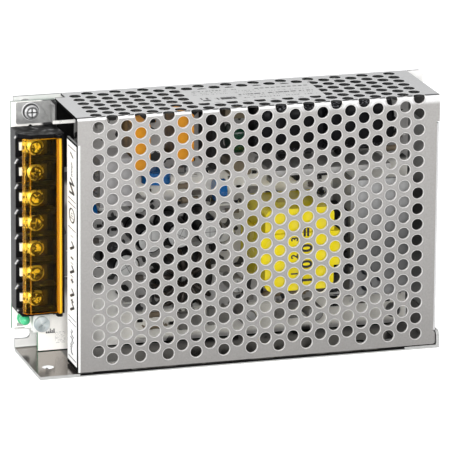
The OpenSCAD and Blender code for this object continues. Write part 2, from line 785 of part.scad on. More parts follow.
module heatsink_screws() color("gainsboro") stand() {
    by_wall(primary_sink_at)
        translate([transistor_x + tab_size[0] / 2, -tab_size[1], tab_hole_w])
            rotate([90, 0, 0]) tab_screw();
    for (v = diode_v) on_board([secondary_sink_at[0] - tab_size[1], v + tab_size[0] / 2])
        translate([0, 0, tab_hole_w]) rotate([90, 0, -90]) tab_screw();
}

module transformer_core() color("yellow") stand()
    on_board([core_x, transformer_v - core_size[1] / 2]) difference() {
        cube(core_size);
        translate([core_wall[0], -cut, core_wall[1]]) cube([
            core_size[0] - 2 * core_wall[0], core_size[1] + 2 * cut,
            core_size[2] - 2 * core_wall[1]
        ]);
    }

module transformer_winding() color("gold") stand()
    on_board([core_x + core_size[0] / 2, transformer_v])
        translate([-winding_size[0] / 2, -winding_size[1] / 2, 0]) difference() {
            union() {
                cube([winding_size[0], winding_size[1], 2.2]);
                linear_extrude(winding_size[2]) rounded([winding_size[0], winding_size[1]], 3);
            }
            translate([winding_size[0] / 2, winding_size[1] / 2, 0]) transformer_window();
        }

// Room for the core's side legs and its two yokes in the winding, about its middle
module transformer_window() {
    l = core_size[0] / 2 - core_wall[0] - winding_gap;
    d = core_size[1] + 2 * winding_gap;
    for (side = [-1, 1]) translate([side * (l + core_size[0]) - core_size[0], -d / 2, -cut])
        cube([2 * core_size[0], d, core_size[2]]);
    for (z = [core_wall[1] + winding_gap - core_size[2], core_size[2] - core_wall[1] - winding_gap])
        translate([-core_size[0], -d / 2, z]) cube([2 * core_size[0], d, core_size[2]]);
}

module secondary_heatsink() color("lightgray") stand() on_board(secondary_sink_at)
    difference() {
        union() {
            cube([sink_t, secondary_sink_size[1], secondary_sink_size[2]]);
            translate([0, 0, secondary_sink_size[2] - sink_t])
                cube([secondary_sink_size[0], secondary_sink_size[1], sink_t]);
        }
        for (v = diode_v)
            translate([-cut, v - secondary_sink_at[1] + tab_size[0] / 2, tab_hole_w])
                bar_u(m3_r + bore_gap, sink_t + 2 * cut);
    }

module rectifier_diodes() color("#242424") stand() for (v = diode_v)
    on_board([secondary_sink_at[0], v + tab_size[0]]) rotate([0, 0, -90]) tab_transistor();

module inductor_core() color("olive") stand() on_board(inductor_at)
    translate([0, 0, inductor_w]) rotate_extrude() translate([inductor_r, 0])
        circle(r = inductor_ring_r);

module inductor_winding() color("chocolate") stand() on_board(inductor_at) {
    for (k = [0 : 13]) rotate([0, 0, 22 * k + 37]) translate([inductor_r, 0, inductor_w])
        rotate([90, 0, 0]) rotate_extrude()
            translate([inductor_ring_r + inductor_wire + 0.1, 0]) circle(r = inductor_wire);
    for (a = [37, 323]) rotate([0, 0, a]) translate([inductor_r, 0, 0])
        cylinder(r = inductor_wire, h = 1.4);
}

module output_capacitors() color("#202028") stand() for (at = output_capacitor_at)
    on_board(at) can(output_can[0], output_can[1]);

module small_capacitors() color("#26262c") stand() for (at = small_capacitor_at)
    on_board(at) can(small_can[0], small_can[1]);

module resistor() {
    for (x = [0, resistor_l]) translate([x, 0, 0]) cylinder(r = 0.35, h = 1.6);
    translate([0, 0, 1.6]) bar_u(0.35, resistor_l);
    for (x = [resistor_lead, resistor_l - resistor_lead - resistor_cap_l])
        translate([x, 0, 1.6]) bar_u(1.25, resistor_cap_l);
    translate([resistor_lead, 0, 1.6]) bar_u(1.05, resistor_l - 2 * resistor_lead);
}

module resistors() color("burlywood") stand() for (at = resistor_at) on_board(at) resistor();

module control_chips() color("#161616") stand() for (at = chip_at) on_board(at) {
    translate([0, 0, 0.8]) cube(chip_size);
    for (x = [0.8 : 2.54 : chip_size[0] - 0.7], y = [-0.6, chip_size[1]])
        translate([x, y, 0]) cube([0.9, 0.6, 2.4]);
}

module wire_jumpers() color("gainsboro") stand() for (at = jumper_at) on_board(at) {
    for (x = [0, jumper_l]) translate([x, 0, 0]) cylinder(r = 0.4, h = 0.8);
    translate([-0.4, 0, 0.8]) bar_u(0.4, jumper_l + 0.8);
}

// --- The pieces ---

chassis();
cover();
cover_screws();
terminal_label();
rating_label();
insulation_film();
pcb_standoffs();
pcb();
pcb_screws();
earth_bracket();
earth_screw();
terminal_block();
terminal_plates();
for (i = [1 : poles]) terminal_screw(i);
for (i = [1 : poles]) clamp(i);
terminal_flap();
trimmer_body();
trimmer_rotor();
status_led();
fuse();
choke_core();
choke_windings();
x_capacitor(1);  // x_capacitor_1
x_capacitor(2);  // x_capacitor_2
varistor();
y_capacitors();
ntc_thermistor();
film_capacitors();
bridge_rectifier();
bulk_capacitor(1);  // bulk_capacitor_1
bulk_capacitor(2);  // bulk_capacitor_2
primary_heatsink();
switching_transistor();
transformer_core();
transformer_winding();
secondary_heatsink();
rectifier_diodes();
heatsink_screws();
inductor_core();
inductor_winding();
output_capacitors();
small_capacitors();
resistors();
control_chips();
wire_jumpers();
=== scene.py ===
"""Looks for the enclosed switching power supply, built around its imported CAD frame."""
import math
import random

import bmesh
import bpy
from mathutils import Matrix, Vector


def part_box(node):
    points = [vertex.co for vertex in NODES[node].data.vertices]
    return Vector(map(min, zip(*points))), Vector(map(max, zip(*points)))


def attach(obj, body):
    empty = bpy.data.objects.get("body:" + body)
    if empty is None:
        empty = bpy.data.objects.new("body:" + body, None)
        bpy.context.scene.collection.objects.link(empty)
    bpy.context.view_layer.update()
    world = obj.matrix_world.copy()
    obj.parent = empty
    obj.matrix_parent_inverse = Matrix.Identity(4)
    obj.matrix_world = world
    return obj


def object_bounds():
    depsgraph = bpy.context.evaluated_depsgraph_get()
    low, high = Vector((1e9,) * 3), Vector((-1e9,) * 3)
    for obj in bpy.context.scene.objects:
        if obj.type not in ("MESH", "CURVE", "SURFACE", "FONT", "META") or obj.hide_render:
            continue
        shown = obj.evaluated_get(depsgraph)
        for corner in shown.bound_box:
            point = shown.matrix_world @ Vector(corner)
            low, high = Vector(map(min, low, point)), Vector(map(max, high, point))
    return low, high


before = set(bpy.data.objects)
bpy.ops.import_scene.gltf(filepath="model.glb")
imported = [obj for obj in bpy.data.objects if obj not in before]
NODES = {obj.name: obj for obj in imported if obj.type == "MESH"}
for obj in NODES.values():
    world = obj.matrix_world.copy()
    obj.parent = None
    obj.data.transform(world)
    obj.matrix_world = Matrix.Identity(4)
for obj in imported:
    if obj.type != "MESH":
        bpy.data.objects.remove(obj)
CAD_BOX = [list(corner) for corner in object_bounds()]
MM = 0.001
random.seed(11)

# Places in the materials are in millimetres of the frame: x along the length, y from the front at
# -BACK to the base plate's back at BACK, z up from the side flange. Depth is counted from the back.
BACK = round(CAD_BOX[1][1] / MM, 4)
HOLE_STEP, FRONT_PITCH, SIDE_PITCH = 5.29, 6.0, 5.8      # cover holes: columns, then rows
FRONT_HOLES = (-55.65, 93.2), (-50.36, 90.2)             # top hole of both columns, x and z
SIDE_HOLES = (-55.65, 35.5), (-50.36, 32.6)              # front hole of both columns, x and depth
FRONT_ENDS, SIDE_ENDS = (6.5, 3.5), (3.8, 0.4)           # no hole of a column lies beyond these
HOLE_COLUMNS = (-58.3, 68.7)                             # x where the pattern starts and ends
# RIM_START is where the rims begin. Out from it run the painted highlight round each front hole, the
# painted shade ring beyond it, and the painted highlight round each side hole.
RIM_START, HIGHLIGHT_RIM, SHADE_RIM, SIDE_HIGHLIGHT_RIM = 2.25, 2.56, 3.1, 2.45      # radii round a hole
POLES, POLE_PITCH, LOWEST_POLE = 7, 9.5, 25.05           # terminal poles, the lowest one's z
SCREW_X, TRIMMER = -73.65, (-69.95, 13.0)                # terminal screws' x, trimmer's x and z
FLANGE_HOLE = (-71.7, -8.0)                              # countersunk hole in the flange, x and y
# RIDGE is where a painted highlight runs along the flap's hinge barrel, which is painted as shade
# from BARREL_EDGE on.
BARREL_EDGE, RIDGE = -66.9, (-66.25, -65.35)             # flap's hinge barrel and its bright line
BOARD_FACE, PRINT = 8.0, 0.02                            # depth of the board's face, ink's thickness
UNDER_COVER = 37.6                                       # depth just inside the cover's front sheet
LABEL_INK = (-63.52, -63.505)                            # x of the two faces of the label's ink
# One sheet in two greys: the front is painted darker than the side wall, as shade from how the light
# falls.
FRONT_GREY, SIDE_GREY = 0.35, 0.53                       # the cover's two visible sides

TRIES, GAP = 900, 0.5                                    # places tried for small parts, mm between
PARTS_U, PARTS_V = (-58, 70), (8, 92)                    # where small parts may stand
OPEN_CORNER = (-34, 20)                                  # none stand left of and below this
KINDS = "ccctrrdg"                                       # a letter for each kind, by its share

AMBIENT, FLOOR_GLOW = 0.14, 0.45                         # strength of the ambient light and floor
YAW, ELEVATION, ROLL = math.radians(16.74), math.radians(15.62), math.radians(0.38)
CAMERA_AT, LENS = (-0.49075, -1.6246, 0.5221), 382.7     # metres, and mm on a 36 mm sensor


# ---------------------------------------------------------------- shader helpers

def new_material(name):
    """An empty node material, with its tree and its Principled shader."""
    mat = bpy.data.materials.new(name)
    mat.use_nodes = True
    return mat, mat.node_tree, mat.node_tree.nodes["Principled BSDF"]


def add(tree, kind, **values):
    """A node of that kind, with inputs set by name and properties by lower-case name."""
    node = tree.nodes.new(kind)
    for key, value in values.items():
        if key in node.inputs:
            node.inputs[key].default_value = value
        else:
            setattr(node, key, value)
    return node


def feed(tree, socket, value):
    """Sets a socket from another socket, a number or a colour."""
    if isinstance(value, bpy.types.NodeSocket):
        tree.links.new(value, socket)
    elif isinstance(value, tuple) and len(value) == 3:
        socket.default_value = (*value, 1)
    else:
        socket.default_value = value


def calc(tree, operation, *values):
    """One Math node."""
    node = add(tree, "ShaderNodeMath", operation=operation)
    for socket, value in zip(node.inputs, values):
        feed(tree, socket, value)
    return node.outputs[0]


def product(tree, *values):
    """The product of several masks."""
    total = values[0]
    for value in values[1:]:
        total = calc(tree, "MULTIPLY", total, value)
    return total


def step(tree, value, low, high):
    """Goes smoothly from 0 at low to 1 at high; low may be the larger."""
    node = add(tree, "ShaderNodeMapRange", interpolation_type="SMOOTHSTEP")
    flip = low > high
    feed(tree, node.inputs["Value"], value)
    node.inputs["From Min"].default_value = min(low, high)
    node.inputs["From Max"].default_value = max(low, high)
    node.inputs["To Min"].default_value = 1.0 if flip else 0.0
    node.inputs["To Max"].default_value = 0.0 if flip else 1.0
    return node.outputs[0]


def band(tree, value, low, high, soft=0.02):
    """1 between low and high, 0 outside."""
    return calc(tree, "MULTIPLY", step(tree, value, low - soft, low + soft),
                step(tree, value, high + soft, high - soft))


def mix(tree, fac, first, second):
    """Colour from first to second as fac goes from 0 to 1."""
    node = add(tree, "ShaderNodeMix", data_type="RGBA")
    feed(tree, node.inputs[0], fac)
    feed(tree, node.inputs[6], first)
    feed(tree, node.inputs[7], second)
    return node.outputs[2]


def place(tree):
    """The point in millimetres in the object's own coordinates, as x, y and z."""
    scaled = add(tree, "ShaderNodeVectorMath", operation="SCALE")
    scaled.inputs["Scale"].default_value = 1 / MM
    tree.links.new(add(tree, "ShaderNodeTexCoord").outputs["Object"], scaled.inputs[0])
    parts = add(tree, "ShaderNodeSeparateXYZ")
    tree.links.new(scaled.outputs[0], parts.inputs[0])
    return parts.outputs[0], parts.outputs[1], parts.outputs[2]


def facing(tree):
    """The surface's direction, as x, y and z."""
    parts = add(tree, "ShaderNodeSeparateXYZ")
    tree.links.new(add(tree, "ShaderNodeNewGeometry").outputs["Normal"], parts.inputs[0])
    return parts.outputs[0], parts.outputs[1], parts.outputs[2]


def noise(tree, scale, detail=3.0, rough=0.55, stretch=(1, 1, 1)):
    """Noise in the object's own coordinates, scale in cycles per metre."""
    mapping = add(tree, "ShaderNodeMapping")
    mapping.inputs["Scale"].default_value = stretch
    tree.links.new(add(tree, "ShaderNodeTexCoord").outputs["Object"], mapping.inputs["Vector"])
    tex = add(tree, "ShaderNodeTexNoise", Scale=scale, Detail=detail, Roughness=rough)
    tree.links.new(mapping.outputs["Vector"], tex.inputs["Vector"])
    return tex.outputs["Fac"]


def ramp(tree, fac, stops):
    """Colour ramp through stops of (position, rgb or grey)."""
    node = add(tree, "ShaderNodeValToRGB")
    points = node.color_ramp.elements
    while len(points) < len(stops):
        points.new(0.5)
    for point, (position, colour) in zip(points, stops):
        point.position = position
        rgb = colour if isinstance(colour, tuple) else (colour,) * 3
        point.color = (*rgb, 1)
    feed(tree, node.inputs["Fac"], fac)
    return node.outputs["Color"]


def length(tree, across, along):
    """Length of a vector from its two parts."""
    squares = (product(tree, across, across), product(tree, along, along))
    return calc(tree, "SQRT", calc(tree, "ADD", *squares))


def either(tree, *masks):
    """The greatest of several masks."""
    total = masks[0]
    for mask in masks[1:]:
        total = calc(tree, "MAXIMUM", total, mask)
    return total


def blend_shaders(tree, fac, first, second, output="Material Output"):
    """Shows the first shader where fac is 0 and the second where it is 1."""
    node = add(tree, "ShaderNodeMixShader")
    for socket, source in zip(node.inputs, (fac, first, second)):
        tree.links.new(source, socket)
    tree.links.new(node.outputs[0], tree.nodes[output].inputs["Surface"])


def bump(tree, shader, height, distance, strength=0.5):
    """Raises the surface by a height map; distance is in metres."""
    node = add(tree, "ShaderNodeBump", Strength=strength, Distance=distance)
    tree.links.new(height, node.inputs["Height"])
    tree.links.new(node.outputs["Normal"], shader.inputs["Normal"])


def grained(tree, colour, amount, scale, stretch=(1, 1, 1)):
    """A colour that drifts lighter and darker by amount with the grain."""
    shade = ramp(tree, noise(tree, scale, stretch=stretch), [(0.25, 1 - amount), (0.75, 1.0)])
    node = add(tree, "ShaderNodeMix", data_type="RGBA", blend_type="MULTIPLY")
    node.inputs[0].default_value = 1.0
    feed(tree, node.inputs[6], colour)
    tree.links.new(shade, node.inputs[7])
    return node.outputs[2]


def dress(tree, shader, colour, amount, scale, stretch=(1, 1, 1), **sockets):
    """Gives the shader a grained colour and sets its other sockets by name."""
    tree.links.new(grained(tree, colour, amount, scale, stretch), shader.inputs["Base Color"])
    for key, value in sockets.items():
        shader.inputs[key.replace("_", " ")].default_value = value


def surface(name, colour, rough=0.4, metal=0.0, vary=0.1, grain=400, stretch=(1, 1, 1),
            bump_depth=0.02, rough_vary=0.08, **sockets):
    """A plain finish: colour and roughness drift with the grain, which is raised a little."""
    mat, tree, shader = new_material(name)
    dress(tree, shader, colour, vary, grain, stretch, Metallic=metal, **sockets)
    gloss = ramp(tree, noise(tree, grain * 0.3, stretch=stretch),
                 [(0.3, max(0.02, rough - rough_vary)), (0.7, min(1.0, rough + rough_vary))])
    tree.links.new(gloss, shader.inputs["Roughness"])
    if bump_depth:
        bump(tree, shader, noise(tree, grain * 2, stretch=stretch), bump_depth * MM, 0.4)
    return mat


def paint(node, mat):
    """Gives a CAD node its material."""
    mesh = NODES[node].data
    mesh.materials.clear()
    mesh.materials.append(mat)


# ---------------------------------------------------------------- finishes with a pattern

def nearest_hole(tree, x, y, start, pitch_x, pitch_y):
    """Distance to the nearest centre of a plain grid of holes with one centre at start."""
    across = calc(tree, "WRAP", calc(tree, "SUBTRACT", x, start[0]), pitch_x / 2, -pitch_x / 2)
    down = calc(tree, "WRAP", calc(tree, "SUBTRACT", y, start[1]), pitch_y / 2, -pitch_y / 2)
    return length(tree, across, down)


def staggered_rim(tree, x, y, starts, pitch, lowest, outer):
    """1 on the rims of the cover's holes out to a radius; lowest ends each of both columns."""
    rims = []
    for start, low in zip(starts, lowest):
        far = nearest_hole(tree, x, y, start, 2 * HOLE_STEP, pitch)
        rims.append(product(tree, step(tree, far, outer, RIM_START), step(tree, y, low - 0.05, low)))
    return product(tree, either(tree, *rims), band(tree, x, *HOLE_COLUMNS, 0.05))


def cover_end(tree, x, z):
    """Grey of the end flanges, all painted shade: black at the terminal end, and at the closed end
    darkest halfway up.
    """
    closed = ramp(tree, step(tree, z, 10, 90), [(0.0, 0.45), (0.3, 0.16), (0.6, 0.12), (1.0, 0.65)])
    return mix(tree, step(tree, x, 0, 1), (0.012, 0.012, 0.012), closed)


def cover_face(tree, x, z):
    """Warm grey front, with painted shade that darkens it towards the bottom and a painted highlight
    along the right of the upper fold.
    """
    shade = add(tree, "ShaderNodeMapRange")
    feed(tree, shade.inputs["Value"], z)
    for key, value in (("From Min", 0.0), ("From Max", 95.0), ("To Min", FRONT_GREY * 0.75),
                       ("To Max", FRONT_GREY)):
        shade.inputs[key].default_value = value
    front = add(tree, "ShaderNodeCombineColor")
    for socket, tint in zip(front.inputs[:3], (1.07, 1.035, 1.0)):
        tree.links.new(product(tree, shade.outputs[0], tint), socket)
    # Painted highlight along the right of the upper fold.
    fold_highlight = product(tree, step(tree, z, 93.4, 95.0), step(tree, x, -20, 50), 0.7)
    return mix(tree, fold_highlight, front.outputs[0], (0.9, 0.9, 0.9))


def steel():
    """Satin cover sheet with painted light: a highlight round each hole and a shade ring outside it,
    a dark and a bright line along each fold, and shade on its inner faces, crease and ends.
    """
    mat, tree, shader = new_material("satin_steel")
    x, y, z = place(tree)
    nx, ny, nz = facing(tree)
    depth = calc(tree, "SUBTRACT", BACK, y)
    flat = calc(tree, "ABSOLUTE", ny)
    outside = step(tree, y, -18.55, -18.75)
    # Round the front holes: a painted highlight, and a painted shade ring just outside it.
    rim_highlight, rim_shade = (
        product(tree, outside, staggered_rim(tree, x, z, FRONT_HOLES, FRONT_PITCH, FRONT_ENDS, far))
        for far in (HIGHLIGHT_RIM, SHADE_RIM))
    # Round the side wall's holes: a painted highlight.
    side_rim_highlight = product(tree, step(tree, z, 96.1, 96.3), staggered_rim(
        tree, x, depth, SIDE_HOLES, SIDE_PITCH, SIDE_ENDS, SIDE_HIGHLIGHT_RIM))
    # Painted reflection along each fold: a near-black line, then a bright line, between the side
    # wall's grey and the front.
    fold = ramp(tree, flat, [(0.0, SIDE_GREY), (0.08, SIDE_GREY), (0.14, 0.04), (0.42, 0.05),
                             (0.66, 0.85), (0.96, 0.75)])
    colour = mix(tree, step(tree, flat, 0.96, 0.995), fold, cover_face(tree, x, z))
    end = step(tree, nx, -0.7, -0.9)
    colour = mix(tree, end, colour, cover_end(tree, x, z))
    # Painted shade: a near-black line along the crease where the side wall meets the front's fold.
    crease_shade = product(tree, band(tree, depth, 37.3, 38.35, 0.12), step(tree, z, 95.9, 96.1))
    # Painted shade on the cover's inner faces.
    inner_shade = either(tree, step(tree, ny, 0.4, 0.7), step(tree, nz, -0.4, -0.7))
    # Painted shade in the walls of the side wall's holes.
    hole_wall_shade = product(tree, step(tree, z, 96.02, 96.1), step(tree, depth, 38.3, 38.0),
                      step(tree, calc(tree, "ABSOLUTE", nz), 0.5, 0.3))
    shaded_rim = product(tree, rim_shade, step(tree, flat, 0.9, 0.97), 0.45)
    for mask, tone in ((inner_shade, (0.12, 0.12, 0.12)), (crease_shade, (0.04, 0.04, 0.04)),
                       (side_rim_highlight, (0.8, 0.8, 0.8)), (hole_wall_shade, (0.02, 0.02, 0.02)),
                       (shaded_rim, (0.20, 0.20, 0.20)),
                       (product(tree, rim_highlight, 0.75), (0.80, 0.78, 0.76))):
        colour = mix(tree, mask, colour, tone)
    dress(tree, shader, colour, 0.14, 1500, Metallic=0.35, Roughness=0.45)
    height = calc(tree, "ADD", product(tree, rim_highlight, -1.0),
                  product(tree, noise(tree, 2500), 0.12))
    bump(tree, shader, height, 0.12 * MM, 0.35)
    shadow = add(tree, "ShaderNodeBsdfDiffuse", Color=(0.01, 0.01, 0.01, 1))
    blend_shaders(tree, product(tree, end, step(tree, x, -62.9, -63.1)), shader.outputs[0],
                  shadow.outputs[0])
    return mat


def chassis_steel():
    """Bright plated base, with a smooth flange that mirrors what stands on it; its faces carry
    painted light and shade.
    """
    mat, tree, shader = new_material("galvanised_steel")
    x, y, z = place(tree)
    _, ny, nz = facing(tree)
    floor = product(tree, step(tree, nz, 0.7, 0.9), step(tree, z, 3, 2))
    # The flange's top is a darker, smoother mirror; under the cover it is painted near black as
    # shade.
    shade_under_cover = step(tree, x, -62.5, -61.5)
    # Painted shadow: a black line along the top of the flange's front edge, under the cover.
    lip = product(tree, step(tree, ny, -0.6, -0.8), step(tree, y, -10, -11),
                  band(tree, x, -62.5, 62, 0.2), step(tree, z, 0.42, 0.5))
    # Painted light: the base plate's front face is nearly white and less metallic than the rest of
    # the sheet.
    plate = product(tree, step(tree, ny, -0.7, -0.9), step(tree, y, 17.6, 17.9))
    colour = mix(tree, plate, (0.60, 0.60, 0.59), (0.88, 0.87, 0.85))
    colour = mix(tree, floor, colour,
                 mix(tree, shade_under_cover, (0.30, 0.27, 0.245), (0.05, 0.047, 0.045)))
    # Painted light: the countersink round the flange's hole is white, and a small painted dark speck
    # in its wall stands for shade.
    from_x = calc(tree, "SUBTRACT", x, FLANGE_HOLE[0])
    from_y = calc(tree, "SUBTRACT", y, FLANGE_HOLE[1])
    squared = calc(tree, "ADD", product(tree, from_x, from_x), product(tree, from_y, from_y))
    countersink_light = product(tree, step(tree, squared, 5.0, 4.2), step(tree, nz, -0.5, -0.3))
    speck_shade = product(tree, band(tree, x, -72.3, -71.3, 0.2), band(tree, z, 0.1, 0.6, 0.1), countersink_light,
                    step(tree, nz, 0.9, 0.7))
    for mask, tone in ((countersink_light, (1.0, 1.0, 1.0)), (speck_shade, (0.15, 0.15, 0.15)),
                       (lip, (0.01, 0.01, 0.01))):
        colour = mix(tree, mask, colour, tone)
    dress(tree, shader, colour, 0.06, 500, (1, 0.6, 0.4))
    metal = calc(tree, "SUBTRACT", calc(tree, "SUBTRACT", 0.9, product(tree, plate, 0.65)),
                 product(tree, countersink_light, 0.85))
    tree.links.new(metal, shader.inputs["Metallic"])
    rough = calc(tree, "ADD", 0.34, product(tree, floor, -0.2))
    tree.links.new(rough, shader.inputs["Roughness"])
    bump(tree, shader, noise(tree, 900), 0.004 * MM, 0.15)
    return mat


def board():
    """White printed side, painted grey as shade except in two bands and at the open end, with
    painted blots of shade and a painted shadow beside the terminal block; green edges and solder
    side with tracks.
    """
    mat, tree, shader = new_material("white_board")
    x, _, z = place(tree)
    _, ny, _ = facing(tree)
    tracks = add(tree, "ShaderNodeTexBrick", Scale=260.0)
    tree.links.new(add(tree, "ShaderNodeTexCoord").outputs["Object"], tracks.inputs["Vector"])
    for key, tone in (("Color1", (0.015, 0.17, 0.07, 1)), ("Color2", (0.02, 0.24, 0.10, 1)),
                      ("Mortar", (0.01, 0.10, 0.05, 1))):
        tracks.inputs[key].default_value = tone
    white = (1.0, 0.98, 0.93)
    open_end = product(tree, step(tree, x, -36, -43), step(tree, z, 26, 20))
    # Bands where the board keeps its own white; elsewhere it is painted grey as shade.
    clear = either(tree, band(tree, z, 3, 13.5, 1.0), band(tree, z, 57, 65, 1.5))
    # Painted shade: dark blots on the board between the parts.
    blots = product(tree, step(tree, noise(tree, 210, detail=1.0), 0.56, 0.58),
                    calc(tree, "SUBTRACT", 1.0, clear))
    bare = mix(tree, clear, (0.42, 0.41, 0.40), (1.0, 0.97, 0.90))
    bare = mix(tree, blots, bare, (0.02, 0.02, 0.02))
    # Painted shadow beside the terminal block, darker towards the top.
    in_shade = mix(tree, band(tree, x, -68.5, -60, 0.8), bare,
                   ramp(tree, step(tree, z, 15, 85), [(0.0, 0.30), (0.5, 0.16), (1.0, 0.03)]))
    printed = mix(tree, open_end, in_shade, white)
    printed = mix(tree, step(tree, x, -68, -69.5), printed, white)
    edges = mix(tree, product(tree, step(tree, z, 19, 21), step(tree, ny, 0.7, 0.5)),
                tracks.outputs["Color"], (0.30, 0.34, 0.31))
    colour = mix(tree, step(tree, ny, -0.3, -0.6), edges, printed)
    dress(tree, shader, colour, 0.05, 700, Roughness=0.38)
    return mat


def moulding():
    """Black terminal moulding with painted light: a grey end where light falls, painted highlights
    mottling the top, and a painted glint on the slope beside each pole.
    """
    mat, tree, shader = new_material("black_moulding")
    x, y, z = place(tree)
    nx, _, nz = facing(tree)
    depth = calc(tree, "SUBTRACT", BACK, y)
    # Painted light: the end facing left is drawn grey, lighter than the black.
    end = product(tree, step(tree, nx, -0.6, -0.85), step(tree, x, -80.0, -80.2),
                  step(tree, depth, 15.5, 14.0))
    # Painted highlights mottling the top.
    top_highlights = ramp(tree, noise(tree, 420, detail=4.0),
                [(0.40, 0.006), (0.52, 0.025), (0.62, 0.07), (0.72, 0.35)])
    # A painted glint on the slope beside each pole.
    along = calc(tree, "WRAP", calc(tree, "SUBTRACT", z, 74.9), POLE_PITCH, 0.0)
    slope = calc(tree, "SUBTRACT", calc(tree, "SUBTRACT", depth, 13.2), product(tree, along, 1.55))
    glint = product(tree, band(tree, slope, -0.8, 0.8, 0.4), band(tree, along, 0.2, 3.0, 0.3),
                    band(tree, z, 20, 86), step(tree, x, -79.9, -80.2))
    colour = mix(tree, step(tree, nz, 0.6, 0.9), (0.003, 0.003, 0.004), top_highlights)
    colour = mix(tree, end, colour, (0.09, 0.09, 0.09))
    colour = mix(tree, glint, colour, (0.6, 0.6, 0.6))
    dress(tree, shader, colour, 0.3, 900, Roughness=0.5, Specular_IOR_Level=0.08)
    bump(tree, shader, noise(tree, 1600), 0.02 * MM, 0.3)
    return mat


def amber():
    """Clear amber moulding; its edges, a rib and the hinge barrel are drawn in opaque orange, with a
    painted highlight along the rib and painted shade on the barrel.
    """
    mat, tree, shader = new_material("amber_clear")
    x, _, _ = place(tree)
    _, ny, nz = facing(tree)
    for key, value in (("Base Color", (0.98, 0.75, 0.13, 1)), ("Roughness", 0.03), ("IOR", 1.15),
                       ("Transmission Weight", 1.0), ("Specular IOR Level", 0.3)):
        shader.inputs[key].default_value = value
    # Painted light on the flap: a highlight along the rib and a thin one near its left edge, the
    # side edges in opaque orange, and shade on the barrel.
    ridge_highlight = product(tree, band(tree, x, *RIDGE, 0.15), 0.8)
    line = product(tree, band(tree, x, -76.9, -76.7, 0.1), 0.4)
    ends = step(tree, calc(tree, "ABSOLUTE", nz), 0.5, 0.8)
    side = product(tree, step(tree, calc(tree, "ABSOLUTE", ny), 0.75, 0.3),
                   calc(tree, "ADD", product(tree, ends, 0.5), 0.2))
    barrel = product(tree, step(tree, x, BARREL_EDGE - 0.1, BARREL_EDGE + 0.1), 0.75)
    warm = mix(tree, barrel, (1.0, 0.40, 0.0), (0.16, 0.045, 0.0))
    warm = mix(tree, ridge_highlight, warm, (0.95, 0.58, 0.02))
    edge = add(tree, "ShaderNodeBsdfPrincipled", Roughness=0.25)
    edge.inputs["Specular IOR Level"].default_value = 0.3
    tree.links.new(warm, edge.inputs["Base Color"])
    blend_shaders(tree, either(tree, ridge_highlight, line, side, barrel), shader.outputs[0],
                  edge.outputs[0])
    return mat


def sleeve(name, low, high):
    """Black shrink sleeve with rows of small print between two y values."""
    mat, tree, shader = new_material(name)
    _, y, _ = place(tree)
    print_noise = noise(tree, 1700, detail=1.0, stretch=(0.6, 1, 1.4))
    strokes = product(tree, step(tree, print_noise, 0.56, 0.6), band(tree, y, low, high, 0.1))
    colour = mix(tree, strokes, (0.003, 0.003, 0.004), (0.14, 0.14, 0.15))
    dress(tree, shader, colour, 0.1, 300, Roughness=0.35, Specular_IOR_Level=0.15)
    return mat


# Rows of print on the rating label: depth from and to, x from and to, letter width, boldness.
RATING_ROWS = (
    (24.8, 26.4, -13.8, -9.6, 1.4, 0.2), (21.6, 24.2, -13.8, -8.8, 1.2, 0.1),
    (22.6, 25.6, -7.6, 0.4, 1.8, 0.12), (24.6, 25.5, 3.0, 31.0, 0.6, 0.06),
    (21.9, 22.5, -6.0, 31.0, 0.5, 0.04), (19.4, 20.6, 2.6, 31.0, 0.7, 0.12),
    (16.6, 17.3, -13.8, 31.0, 0.5, 0.04), (14.3, 15.0, -13.8, 12.0, 0.5, 0.04),
    (11.6, 12.5, -13.8, 4.0, 0.6, 0.1))


def rating():
    """Silver rating label: rows of small generic bars and a row of dashes."""
    mat, tree, shader = new_material("silver_label")
    x, y, _ = place(tree)
    depth = calc(tree, "SUBTRACT", BACK, y)
    rows = []
    for low, high, left, right, pitch, weight in RATING_ROWS:
        letters = step(tree, noise(tree, 1000 / pitch, detail=1.0, stretch=(1, 0.02, 0.02)),
                       0.58 - weight, 0.62 - weight)
        rows.append(product(tree, band(tree, depth, low, high, 0.12),
                            band(tree, x, left, right, 0.2), letters))
    dashes = product(tree, band(tree, depth, 12.2, 13.1, 0.1), band(tree, x, 10.5, 31.5, 0.1),
                     step(tree, calc(tree, "PINGPONG", x, 1.05), 0.25, 0.4))
    ink = either(tree, product(tree, either(tree, *rows), 0.95), dashes)
    colour = mix(tree, ink, (0.50, 0.50, 0.495), (0.02, 0.02, 0.02))
    dress(tree, shader, colour, 0.04, 500, Roughness=0.4)
    return mat


def screw_metal(name, centre_z):
    """Yellow passivated screw and clamp, drawn dark as painted reflection, with the painted broken
    highlights of a small turned part.
    """
    mat, tree, shader = new_material(name)
    x, _, z = place(tree)
    off_x, off_z = calc(tree, "SUBTRACT", x, SCREW_X), calc(tree, "SUBTRACT", z, centre_z)
    far = length(tree, off_x, off_z)
    broken = noise(tree, 520, detail=2.0)
    # Painted highlights: a broken ring, the dome, and a glint along the clamp's left.
    ring = product(tree, band(tree, far, 2.35, 3.1, 0.12), step(tree, broken, 0.40, 0.5))
    dome = product(tree, step(tree, far, 1.9, 1.6), step(tree, broken, 0.44, 0.56))
    glint = product(tree, step(tree, x, -75.9, -76.3), step(tree, broken, 0.38, 0.50),
                    step(tree, calc(tree, "ABSOLUTE", off_z), 2.4, 1.6))
    colour = mix(tree, either(tree, ring, dome, glint), (0.05, 0.03, 0.01), (1.0, 0.95, 0.75))
    dress(tree, shader, colour, 0.15, 900, Metallic=0.4, Roughness=0.3)
    bump(tree, shader, noise(tree, 1200), 0.03 * MM, 0.5)
    return mat


